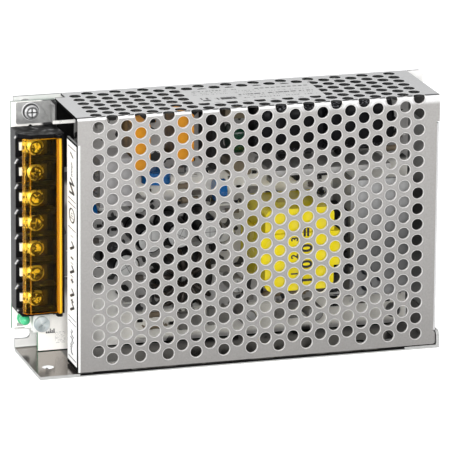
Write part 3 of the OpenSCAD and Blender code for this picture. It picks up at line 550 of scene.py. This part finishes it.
def earth_head():
    """Pan screw on a washer, with painted rings of highlight and shade and a painted dark cross
    where its slot lies in shade.
    """
    mat, tree, shader = new_material("earth_zinc")
    x, _, z = place(tree)
    low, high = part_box("earth_screw")
    off_x = calc(tree, "SUBTRACT", x, (low.x + high.x) / 2 / MM)
    off_z = calc(tree, "SUBTRACT", z, (low.z + high.z) / 2 / MM)
    far = length(tree, off_x, off_z)
    # Painted light and shade in rings round the head and washer.
    ring_light_and_shade = ramp(tree, calc(tree, "DIVIDE", far, 3.5),
                 [(0.0, 0.6), (0.34, 0.75), (0.44, 0.4), (0.50, 0.015), (0.58, 0.15), (0.70, 0.55),
                  (0.75, 0.3), (0.79, 0.008), (0.85, 0.06), (0.92, 0.7)])
    cross = calc(tree, "MINIMUM", calc(tree, "ABSOLUTE", off_x), calc(tree, "ABSOLUTE", off_z))
    slot = product(tree, step(tree, cross, 0.32, 0.22), step(tree, far, 1.5, 1.3))
    colour = mix(tree, slot, ring_light_and_shade, (0.02, 0.02, 0.02))
    dress(tree, shader, colour, 0.2, 900, Metallic=0.1, Roughness=0.4)
    bump(tree, shader, noise(tree, 1500), 0.01 * MM, 0.3)
    return mat


def trimmer_disc():
    """Pale rotor with light and grey sectors round its middle."""
    mat, tree, shader = new_material("pale_rotor")
    x, _, z = place(tree)
    angle = calc(tree, "ARCTAN2", calc(tree, "SUBTRACT", z, TRIMMER[1]),
                 calc(tree, "SUBTRACT", x, TRIMMER[0]))
    sectors = ramp(tree, calc(tree, "ADD", calc(tree, "DIVIDE", angle, 2 * math.pi), 0.5),
                   [(0.0, (0.45, 0.48, 0.48)), (0.2, (0.30, 0.33, 0.34)), (0.45, (0.62, 0.65, 0.64)),
                    (0.6, (0.42, 0.45, 0.46)), (0.8, (0.75, 0.77, 0.76)), (1.0, (0.45, 0.48, 0.48))])
    dress(tree, shader, sectors, 0.15, 700, Roughness=0.35, Subsurface_Weight=0.1)
    return mat


def plate_metal():
    """Tinned plate: bright where it sticks out of the block and along each pole's middle, painted
    shade elsewhere, near black under the clamp.
    """
    mat, tree, shader = new_material("tinned_plate")
    x, _, z = place(tree)
    tin, plate_shade, deep_plate_shade = (0.97, 0.96, 0.92), (0.20, 0.15, 0.06), (0.035, 0.028, 0.02)
    off = calc(tree, "ABSOLUTE", calc(tree, "WRAP", calc(tree, "SUBTRACT", z, LOWEST_POLE),
                                      POLE_PITCH / 2, -POLE_PITCH / 2))
    # Painted shade away from each pole's middle and, near black, to the right under the clamp.
    colour = mix(tree, step(tree, off, 1.3, 2.0), tin, plate_shade)
    colour = mix(tree, step(tree, x, -79.3, -78.9), tin, colour)
    colour = mix(tree, step(tree, x, -77.6, -76.8), colour, deep_plate_shade)
    dress(tree, shader, colour, 0.1, 900, Metallic=0.2, Roughness=0.35)
    return mat


def orange_box():
    """Orange box capacitor, its left side painted dark and mottled as shade."""
    mat, tree, shader = new_material("orange_box")
    nx, _, _ = facing(tree)
    # Painted shade on the left side.
    dark = ramp(tree, noise(tree, 260), [(0.4, (0.045, 0.02, 0.003)), (0.62, (0.20, 0.11, 0.02))])
    colour = mix(tree, step(tree, nx, -0.4, -0.7), (0.74, 0.29, 0.002), dark)
    dress(tree, shader, colour, 0.12, 350, Roughness=0.35)
    return mat


def sink_sheet():
    """Brushed sheet that darkens towards its middle, where the cover shades it."""
    mat, tree, shader = new_material("shaded_aluminium")
    _, _, z = place(tree)
    brushed = (1, 1, 0.1)
    shade = ramp(tree, calc(tree, "DIVIDE", z, 70.0),
                 [(0.28, 0.24), (0.42, 0.13), (0.58, 0.13), (0.72, 0.26), (0.86, 0.42), (1.0, 0.5)])
    dress(tree, shader, shade, 0.15, 500, brushed, Metallic=0.3, Roughness=0.5)
    bump(tree, shader, noise(tree, 1400, stretch=brushed), 0.01 * MM, 0.3)
    return mat


STEEL = steel()
EARTH_HEAD = earth_head()
SINK_SHEET = sink_sheet()
ORANGE = orange_box()
PLATE = plate_metal()
TRIM_DISC = trimmer_disc()
CHASSIS = chassis_steel()
BOARD = board()
BLACK = moulding()
AMBER = amber()
SILVER_LABEL = rating()
SLEEVE = sleeve("black_sleeve", -8.0, -2.0)
CAN_SLEEVE = sleeve("can_sleeve", -2.0, 6.0)
ZINC = surface("bright_zinc", (0.72, 0.70, 0.66), rough=0.25, metal=0.9, grain=900)
TIN = surface("tinned", (0.95, 0.94, 0.90), rough=0.35, metal=0.2, grain=900)
DULL = surface("dull_zinc", (0.20, 0.20, 0.20), rough=0.5, metal=0.8, grain=900)
WHITE_LABEL = surface("white_label", (0.95, 0.95, 0.94), rough=0.4, vary=0.03, grain=300)
GREY_BODY = surface("grey_brown", (0.15, 0.13, 0.11), rough=0.4, vary=0.5, grain=700)
GREY_PART = surface("grey_part", (0.26, 0.25, 0.235), rough=0.45, vary=0.35, grain=260)
GREY_INK = surface("grey_ink", (0.35, 0.35, 0.35), rough=0.5, grain=900, bump_depth=0)
INK = surface("black_ink", (0.02, 0.02, 0.025), rough=0.5, grain=900, bump_depth=0)
FILM = surface("milky_film", (0.35, 0.35, 0.33), rough=0.45, grain=300)
EARTH = surface("pressed_plate", (0.46, 0.46, 0.45), rough=0.42, metal=0.75, vary=0.45,
                grain=350, bump_depth=0.05)
RESIN = surface("black_resin", (0.012, 0.012, 0.012), rough=0.55, vary=0.3, grain=1200,
                Specular_IOR_Level=0.2)
CERAMIC = surface("white_tube", (0.50, 0.49, 0.48), rough=0.3, vary=0.08)
CASE_GREY = surface("grey_moulding", (0.40, 0.39, 0.39), rough=0.45, vary=0.12, grain=500)
FERRITE = surface("ferrite", (0.012, 0.012, 0.012), rough=0.6, vary=0.3, grain=900)
COPPER = surface("enamelled_copper", (0.05, 0.04, 0.035), rough=0.3, metal=0.3, vary=0.3)
BLUE = surface("blue_epoxy", (0.001, 0.12, 0.40), rough=0.25, vary=0.15, Coat_Weight=0.4)
GREEN = surface("green_epoxy", (0.003, 0.05, 0.024), rough=0.25, vary=0.2, Coat_Weight=0.4)
TAN = surface("tan_epoxy", (0.20, 0.16, 0.10), rough=0.35, vary=0.2)
SINK = surface("plain_aluminium", (0.50, 0.49, 0.48), rough=0.42, metal=0.5, vary=0.12,
               stretch=(1, 1, 0.1))
TAPE = surface("yellow_tape", (0.86, 0.70, 0.012), rough=0.25, vary=0.12, grain=200)
CAN_TOP = surface("can_aluminium", (0.5, 0.5, 0.49), rough=0.35, metal=0.45, grain=700)
LACQUER = surface("lacquer", (0.28, 0.22, 0.15), rough=0.4, vary=0.2)
TRIM_BLUE = surface("pale_body", (0.80, 0.81, 0.79), rough=0.3, vary=0.06)
LAMP = surface("green_resin", (0.05, 0.50, 0.22), rough=0.2, vary=0.2, Coat_Weight=0.5)
# Dark grey of the corner sheets that stand in for shade.
SHADE_SHEET = surface("grey_shade_sheet", (0.16, 0.155, 0.15), rough=0.6, vary=0.3, grain=500)
RUBBER = surface("blue_black_rubber", (0.006, 0.009, 0.016), rough=0.3, vary=0.4)
MATT_BLACK = surface("matt_black", (0.004, 0.004, 0.004), rough=0.8, vary=0.4, grain=900,
                     Specular_IOR_Level=0.05)
SOLDER = surface("solder", (0.75, 0.74, 0.72), rough=0.2, metal=0.9, grain=900)

FINISHES = {
    "chassis": CHASSIS, "cover": STEEL, "cover_screws": ZINC, "terminal_label": WHITE_LABEL,
    "rating_label": SILVER_LABEL, "insulation_film": FILM, "pcb_standoffs": DULL, "pcb": BOARD,
    "pcb_screws": DULL, "earth_bracket": EARTH, "earth_screw": EARTH_HEAD, "terminal_block": BLACK,
    "terminal_plates": PLATE, "terminal_flap": AMBER, "trimmer_body": TRIM_BLUE,
    "trimmer_rotor": TRIM_DISC, "status_led": LAMP, "fuse": CERAMIC, "choke_core": CASE_GREY,
    "choke_windings": CASE_GREY, "x_capacitor_1": ORANGE, "x_capacitor_2": ORANGE,
    "varistor": BLUE, "y_capacitors": BLUE, "ntc_thermistor": GREEN, "film_capacitors": TAN,
    "bridge_rectifier": RESIN, "bulk_capacitor_1": SLEEVE, "bulk_capacitor_2": SLEEVE,
    "primary_heatsink": SINK, "switching_transistor": RESIN, "transformer_core": TAPE,
    "transformer_winding": TAPE, "secondary_heatsink": SINK_SHEET, "rectifier_diodes": RESIN,
    "heatsink_screws": DULL, "inductor_core": FERRITE, "inductor_winding": COPPER,
    "output_capacitors": CAN_SLEEVE, "small_capacitors": GREY_PART, "resistors": LACQUER,
    "control_chips": GREY_PART, "wire_jumpers": TIN,
}
for number in range(1, POLES + 1):
    passivated = screw_metal(f"screw_metal_{number}", LOWEST_POLE + POLE_PITCH * (POLES - number))
    FINISHES[f"terminal_screw_{number}"] = passivated
    FINISHES[f"clamp_{number}"] = passivated
for name, finish in FINISHES.items():
    paint(name, finish)


# ---------------------------------------------------------------- added pieces

def point(u, v, w):
    """A point from the length, the height above the flange and the depth from the base, in mm."""
    return Vector((u * MM, (BACK - w) * MM, v * MM))


def piece(name, mesh, mat, body="case", slot=None):
    """A new object that rides on a body."""
    obj = bpy.data.objects.new(name, mesh)
    bpy.context.scene.collection.objects.link(obj)
    mesh.materials.clear()
    mesh.materials.append(mat)
    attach(obj, body)
    return obj


def from_bmesh(name, bm, smooth=False):
    """Turns a finished bmesh into a mesh."""
    mesh = bpy.data.meshes.new(name)
    bmesh.ops.recalc_face_normals(bm, faces=bm.faces)
    bm.to_mesh(mesh)
    bm.free()
    for polygon in mesh.polygons:
        polygon.use_smooth = smooth
    return mesh


def put_box(bm, low, high, turn=0.0):
    """A box between two (u, v, w) corners, turned about its middle in the front plane."""
    middle = [(a + b) / 2 for a, b in zip(low, high)]
    size = [abs(b - a) * MM for a, b in zip(low, high)]
    matrix = (Matrix.Translation(point(*middle)) @ Matrix.Rotation(turn, 4, "Y")
              @ Matrix.Diagonal((size[0], size[2], size[1], 1)))
    bmesh.ops.create_cube(bm, size=1.0, matrix=matrix)


def put_disc(bm, at, radius, height, segments=32, top=None):
    """A round boss that stands on the board at (u, v, w) and points to the front."""
    matrix = (Matrix.Translation(point(at[0], at[1], at[2] + height / 2))
              @ Matrix.Rotation(math.pi / 2, 4, "X"))
    bmesh.ops.create_cone(bm, cap_ends=True, segments=segments, radius1=radius * MM,
                          radius2=(radius if top is None else top) * MM, depth=height * MM,
                          matrix=matrix)


def box_piece(name, boxes, mat, slot):
    """A new object made of boxes, each between two (u, v, w) corners."""
    bm = bmesh.new()
    for low, high in boxes:
        put_box(bm, low, high)
    return piece(name, from_bmesh(name, bm), mat, slot=slot)


def soften(obj, width, segments):
    """Rounds the edges of an added piece; width is in mm."""
    bevel = obj.modifiers.new("bevel", "BEVEL")
    bevel.width, bevel.segments = width * MM, segments


def on_front(u, v, w, turn=0.0):
    """Where print lies on a face that looks to the front."""
    return (Matrix.Translation(point(u, v, w)) @ Matrix.Rotation(math.pi / 2, 4, "X")
            @ Matrix.Rotation(turn, 4, "Z"))


def words(name, lines, mat, body="case", slot=None):
    """Printed characters as thin meshes: (text, size in mm, matrix) each."""
    bm = bmesh.new()
    for text, size, matrix in lines:
        curve = bpy.data.curves.new("text", "FONT")
        curve.body = text
        curve.size = size * MM
        curve.align_x = "CENTER"
        curve.align_y = "CENTER"
        curve.extrude = 0.01 * MM
        curve.offset = 0.03 * size * MM
        obj = bpy.data.objects.new("text", curve)
        mesh = bpy.data.meshes.new_from_object(obj)
        mesh.transform(matrix)
        bm.from_mesh(mesh)
        bpy.data.objects.remove(obj)
        bpy.data.curves.remove(curve)
        bpy.data.meshes.remove(mesh)
    mesh = bpy.data.meshes.new(name)
    bm.to_mesh(mesh)
    bm.free()
    return piece(name, mesh, mat, body, slot)


def stroke(bm, start, end, pen):
    """A printed stroke on the terminal label between two (v, w) points; pen is its (v, w) size."""
    verts = []
    for v, w in (start, end):
        for dv, dw in ((-1, -1), (-1, 1), (1, 1), (1, -1)):
            for u in LABEL_INK:
                at = point(u, v + dv * pen[0] / 2, w + dw * pen[1] / 2)
                verts.append(bm.verts.new(at))
    bmesh.ops.convex_hull(bm, input=verts)


def trace(bm, corners, pen):
    """Printed strokes from corner to corner."""
    for start, end in zip(corners, corners[1:]):
        stroke(bm, start, end, pen)


def loop(bm, centre, reach, pen, sides=12):
    """A printed ring; reach is its half size in v and w."""
    angles = [2 * math.pi * k / sides for k in range(sides + 1)]
    trace(bm, [(centre[0] + reach[0] * math.cos(angle), centre[1] + reach[1] * math.sin(angle))
               for angle in angles], pen)


def supply_marks(bm):
    """Upper marks as the photo has them: rules, slanted bars, an N-like zigzag, the earth ring."""
    for v in (84.2, 64.9, 63.1, 54.0, 20.2, 18.4, 5.0):
        stroke(bm, (v, 26.2), (v, 36.4), (0.32, 0.3))
    for v in (82.2, 72.6):
        stroke(bm, (v, 29.6), (v - 1.2, 32.8), (0.5, 1.3))
    for k in range(9):
        v = 78.6 - 0.6 * k
        stroke(bm, (v, 30.2), (v, 31.0 + 1.6 * random.random()), (0.32, 0.4))
    trace(bm, ((67.2, 28.4), (67.6, 34.0), (70.6, 28.4), (71.0, 34.0)), (0.75, 1.6))
    middle = 31.2
    loop(bm, (59.0, middle), (2.6, 3.6), (0.35, 0.9))
    for k, reach in enumerate((2.4, 1.6, 0.8)):
        v = 58.0 + k * 0.9
        stroke(bm, (v, middle - reach), (v, middle + reach), (0.3, 0.4))


def output_marks(bm):
    """Lower marks as the photo has them: V-like hooks, minus and plus signs, ragged bars."""
    for v in (47.2, 38.2, 29.4, 24.2):
        stroke(bm, (v - 1.2, 29.0), (v + 0.6, 33.8), (0.6, 1.4))
        stroke(bm, (v + 0.6, 33.8), (v + 1.8, 31.0), (0.5, 1.2))
    for v in (43.0, 34.4, 26.8):
        stroke(bm, (v, 29.9), (v, 32.9), (0.7, 0.7))
    for v in (34.4, 26.8):
        stroke(bm, (v - 0.7, 31.4), (v + 0.7, 31.4), (0.4, 1.0))
    for v in (51.2, 41.0, 36.2):
        stroke(bm, (v, 29.6), (v, 32.8), (0.25, 0.4))
    for k in range(10):
        low = 29.0 + 2.0 * random.random()
        high = low + 1.0 + 2.2 * random.random()
        stroke(bm, (15.6 - 0.95 * k, low), (15.2 - 0.95 * k, high), (0.45, 0.9))


def label_print():
    """Marks for the seven terminals; they follow the photo's lettering in shape and place."""
    bm = bmesh.new()
    supply_marks(bm)
    output_marks(bm)
    piece("label_marks", from_bmesh("label_marks", bm), INK, slot="label_white")


def loose_parts(bm):
    """The coordinates of each group of joined vertices."""
    seen = set()
    for start in bm.verts:
        if start in seen:
            continue
        group, queue = [], [start]
        seen.add(start)
        while queue:
            vert = queue.pop()
            group.append(vert.co.copy())
            for edge in vert.link_edges:
                other = edge.other_vert(vert)
                if other not in seen:
                    seen.add(other)
                    queue.append(other)
        yield group


def can_places(node):
    """Centre of each can's top in a CAD node, found from the loose parts of its mesh."""
    bm = bmesh.new()
    bm.from_mesh(NODES[node].data)
    bmesh.ops.remove_doubles(bm, verts=bm.verts, dist=1e-6)
    found = []
    for group in loose_parts(bm):
        xs, ys, zs = zip(*group)
        found.append(((min(xs) + max(xs)) / 2 / MM, (min(zs) + max(zs)) / 2 / MM,
                      BACK - min(ys) / MM))
    bm.free()
    return found


def can_tops():
    """Aluminium tops of the upright capacitors; the large ones are scored with a cross."""
    tops, scores = bmesh.new(), bmesh.new()
    for node, radius, lines in (("output_capacitors", 4.5, 2), ("small_capacitors", 2.7, 1)):
        for u, v, w in can_places(node):
            put_disc(tops, (u, v, w - 0.02), radius, 0.1, top=radius - 0.1)
            turn = random.random() * math.pi
            for k in range(lines):
                angle = turn + k * math.pi / 2
                put_box(scores, (u - radius * 0.8, v - 0.12, w + 0.07),
                        (u + radius * 0.8, v + 0.12, w + 0.1), angle)
    piece("can_tops", from_bmesh("can_tops", tops), CAN_TOP, slot="sleeve_black")
    piece("can_scores", from_bmesh("can_scores", scores), DULL, slot="sleeve_black")


def transformer_print():
    """Two columns up the wound tape: one follows the photo's print, the other is plain figures."""
    low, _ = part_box("transformer_core")
    w = BACK - low.y / MM + PRINT
    figures = [(text, size, on_front(u, v - pitch * k, w, math.pi / 2))
               for u, v, pitch, size, column in ((25.1, 47.0, 6.1, 6.0, "=00T"),
                                                 (20.4, 44.6, 6.6, 3.6, "321"))
               for k, text in enumerate(column)]
    words("transformer_figures", figures, INK, slot="tape_yellow")


def mark(bm, u, v, wide, tall):
    """A printed bar on the board, from its lower left corner."""
    put_box(bm, (u, v, BOARD_FACE), (u + wide, v + tall, BOARD_FACE + PRINT))


def board_print():
    """Small generic bars and a patch of dots on the open end of the board."""
    bars, dots = bmesh.new(), bmesh.new()
    for k in range(6):
        mark(bars, -78.4 + 0.42 * k, 11.7, 0.25, 1.3)
    mark(bars, -79.2, 10.9, 3.8, 0.2)
    for k, tall in enumerate((1.5, 1.3, 1.5, 0.9, 1.4)):
        mark(bars, -67.4 + 0.72 * k, 8.2, 0.45, tall)
    mark(bars, -67.4, 8.0, 3.6, 0.3)
    piece("board_marks", from_bmesh("board_marks", bars), INK, slot="board_white")
    for column in range(11):
        for row in range(9):
            if random.random() < 0.5:
                mark(dots, -63.9 + 0.36 * column, 4.0 + 0.5 * row, 0.2, 0.25)
    piece("board_dots", from_bmesh("board_dots", dots), GREY_INK, slot="board_white")


def corner_shade_sheets():
    """Dark grey sheets in the far corners of the case, standing in for shade where light would pass
    through.
    """
    box_piece("corner_shade_sheets", (((72.5, 84.0, 8.6), (72.8, 95.6, 35.5)),
                             ((62.0, 1.15, 9.0), (72.8, 1.4, 35.5)),
                             ((72.5, 1.5, 9.0), (72.8, 12.5, 35.5))), SHADE_SHEET, "insulation")


def sink_buttons():
    """Black rubber buttons on the sink's front sheet."""
    bm = bmesh.new()
    for u, v, r in ((43.9, 32.9, 2.0), (49.4, 29.6, 2.1), (49.5, 23.6, 2.2), (54.6, 26.0, 1.2)):
        put_disc(bm, (u, v, 30.0), r, 1.4, top=r * 0.7)
    soften(piece("sink_buttons", from_bmesh("sink_buttons", bm, smooth=True), RUBBER,
                 slot="resin_black"), 0.3, 3)


def depth_at(u, v):
    """Depth from the base, in mm, of what lies under the cover's sheet at that place."""
    hit, place_hit, *_ = bpy.context.scene.ray_cast(
        bpy.context.evaluated_depsgraph_get(), point(u, v, UNDER_COVER), Vector((0, 1, 0)))
    return BACK - place_hit.y / MM if hit else 0.0


def free(u, v, du, dv):
    """True where only bare board lies under a rectangle, judged at nine points."""
    return all(BOARD_FACE - 0.1 < depth_at(u + a * du, v + b * dv) < BOARD_FACE + 0.1
               for a in (-1, 0, 1) for b in (-1, 0, 1))


# Small parts by kind, which is chip, transistor, resistor, disc or glue: half the room that each
# takes, then boxes as the piece they join and two corners, in u and v from the middle and in depth.
SMALL_PARTS = {
    "c": ((1.6, 1.1), (("chips", (-0.9, -0.6, 8), (0.9, 0.6, 8.8)),
                       ("chip_ends", (-1.3, -0.6, 8), (-0.9, 0.6, 8.82)),
                       ("chip_ends", (0.9, -0.6, 8), (1.3, 0.6, 8.82)))),
    "t": ((2.2, 1.6), (("chips", (-2, -1.4, 9.5), (2, 1.4, 14)),
                       ("chip_ends", (-1.5, -0.2, 8), (1.5, 0.2, 9.5)))),
    "r": ((4.2, 1.2), (("resistor_bodies", (-2.6, -0.9, 8.6), (2.6, 0.9, 10.3)),
                       ("leads", (-4, -0.25, 9.2), (-2.6, 0.25, 9.7)),
                       ("leads", (2.6, -0.25, 9.2), (4, 0.25, 9.7)))),
    "d": ((2.2, 1.2), (("small_discs", (-2, -0.9, 9), (2, 0.9, 13)),
                       ("leads", (-1.4, -0.2, 8), (1.4, 0.2, 9)))),
    "g": ((1.8, 1.8), ()),
}
SMALL_FINISHES = (
    ("chips", RESIN, "resin_black"), ("chip_ends", SOLDER, "tin_plate"),
    ("resistor_bodies", GREY_BODY, "resistor_tan"), ("leads", TIN, "tin_plate"),
    ("small_discs", GREY_PART, "film_tan"), ("glue", TIN, "board_white"))


def free_spots():
    """Random places on the board that hold a small part, as its kind, u and v."""
    taken = []
    for _ in range(TRIES):
        u, v = random.uniform(*PARTS_U), random.uniform(*PARTS_V)
        kind = random.choice(KINDS)
        reach_u, reach_v = SMALL_PARTS[kind][0]
        crowded = any(abs(u - a) < reach_u + c + GAP and abs(v - b) < reach_v + d + GAP
                      for a, b, c, d in taken)
        open_corner = u < OPEN_CORNER[0] and v < OPEN_CORNER[1]
        if not crowded and not open_corner and free(u, v, reach_u, reach_v):
            taken.append((u, v, reach_u, reach_v))
            yield kind, u, v


def small_parts():
    """Chips, axial resistors, small transistors and blobs of fixing glue between the big parts."""
    bpy.context.view_layer.update()
    meshes = {name: bmesh.new() for name, _, _ in SMALL_FINISHES}
    for kind, u, v in free_spots():
        for name, low, high in SMALL_PARTS[kind][1]:
            put_box(meshes[name], (u + low[0], v + low[1], low[2]),
                    (u + high[0], v + high[1], high[2]))
        if kind == "g":
            put_disc(meshes["glue"], (u, v, BOARD_FACE), 1.6, 1.4, top=1.0)
    for name, mat, slot in SMALL_FINISHES:
        soften(piece(name, from_bmesh(name, meshes[name]), mat, slot=slot), 0.2, 2)


def bracket_strip():
    """The folded front lip that runs from the earth bracket to the end of the cover, in the bright
    tinned finish rather than the bracket's own: a painted highlight.
    """
    box_piece("bracket_strip", (((-66.0, 89.1, 13.6), (-57.6, 90.3, 14.2)),), TIN, "earth_metal")


def black_low_block():
    """Black low block on the board behind the cover's open end, darkening what shows there, and a
    small black disc on the board beside it.
    """
    soften(box_piece("black_low_block", (((-63.0, 79.0, 8.0), (-56.9, 95.6, 9.6)),
                                     ((-62.0, 72.0, 8.0), (-57.4, 79.0, 12.0))),
                     MATT_BLACK, "resin_black"), 0.3, 2)
    pin = bmesh.new()
    put_disc(pin, (-73.0, 87.3, BOARD_FACE), 0.7, 0.5)
    piece("board_pin", from_bmesh("board_pin", pin), MATT_BLACK, slot="board_white")


# The order matters: some pieces draw random numbers, and small parts avoid what stands there.
label_print()
can_tops()
transformer_print()
board_print()
corner_shade_sheets()
sink_buttons()
small_parts()
bracket_strip()
black_low_block()


# ---------------------------------------------------------------- stage

def background():
    """Faint ambient light, which the camera sees as plain white."""
    world = bpy.data.worlds.new("studio")
    bpy.context.scene.world = world
    world.use_nodes = True
    tree = world.node_tree
    back = tree.nodes["Background"]
    back.inputs["Color"].default_value = (0.92, 0.95, 1.0, 1)
    back.inputs["Strength"].default_value = AMBIENT
    white = add(tree, "ShaderNodeBackground", Color=(1, 1, 1, 1), Strength=1.0)
    seen = add(tree, "ShaderNodeLightPath").outputs["Is Camera Ray"]
    blend_shaders(tree, seen, back.outputs[0], white.outputs[0], "World Output")


def floor():
    """Pale matt floor, a hair under the part so that the two don't share a face."""
    mat, tree, shader = new_material("pale_floor")
    for key, value in (("Base Color", (0.8, 0.8, 0.8, 1)), ("Roughness", 0.9),
                       ("Specular IOR Level", 0.1)):
        shader.inputs[key].default_value = value
    glow = add(tree, "ShaderNodeEmission", Color=(1, 1, 1, 1), Strength=FLOOR_GLOW)
    lit = add(tree, "ShaderNodeAddShader")
    tree.links.new(shader.outputs[0], lit.inputs[0])
    tree.links.new(glow.outputs[0], lit.inputs[1])
    seen = add(tree, "ShaderNodeLightPath").outputs["Is Camera Ray"]
    blend_shaders(tree, seen, shader.outputs[0], lit.outputs[0])
    bpy.ops.mesh.primitive_plane_add(size=12, location=(0, 0, -0.02 * MM))
    plane = bpy.context.object
    plane.name = "floor"
    plane.data.materials.append(mat)


def lamp(name, at, target, size, power):
    """A round soft lamp at a point, aimed at another; metres and watts."""
    data = bpy.data.lights.new(name, "AREA")
    data.shape = "DISK"
    data.size = size
    data.energy = power
    obj = bpy.data.objects.new(name, data)
    bpy.context.scene.collection.objects.link(obj)
    obj.location = at
    obj.rotation_mode = "QUATERNION"
    obj.rotation_quaternion = (Vector(target) - Vector(at)).to_track_quat("-Z", "Y")


def camera():
    """A long lens from the left and a little above, with the horizon a touch off level."""
    data = bpy.data.cameras.new("camera")
    data.sensor_width = 36
    data.lens = LENS
    data.clip_start, data.clip_end = 0.1, 30
    obj = bpy.data.objects.new("camera", data)
    bpy.context.scene.collection.objects.link(obj)
    look = Vector((math.sin(YAW) * math.cos(ELEVATION), math.cos(YAW) * math.cos(ELEVATION),
                   -math.sin(ELEVATION)))
    right = Vector((math.cos(YAW), -math.sin(YAW), 0))
    up = right.cross(look)
    across = right * math.cos(ROLL) + up * math.sin(ROLL)
    over = up * math.cos(ROLL) - right * math.sin(ROLL)
    turn = Matrix((across, over, -look)).transposed()
    obj.matrix_world = Matrix.Translation(CAMERA_AT) @ turn.to_4x4()
    bpy.context.scene.camera = obj


background()
floor()
lamp("overhead", (0.05, -0.26, 0.50), (0, 0, 0.03), 0.25, 1.3)
lamp("high", (0.1, 0.9, 1.5), (0, 0, 0.05), 0.9, 17)
lamp("left", (-1.3, -0.35, 0.45), (-0.05, 0, 0.05), 0.7, 15)
lamp("front", (-0.42, -1.65, 0.52), (0, 0, 0.05), 0.5, 22)
camera()
bpy.context.scene.view_settings.view_transform = "Standard"
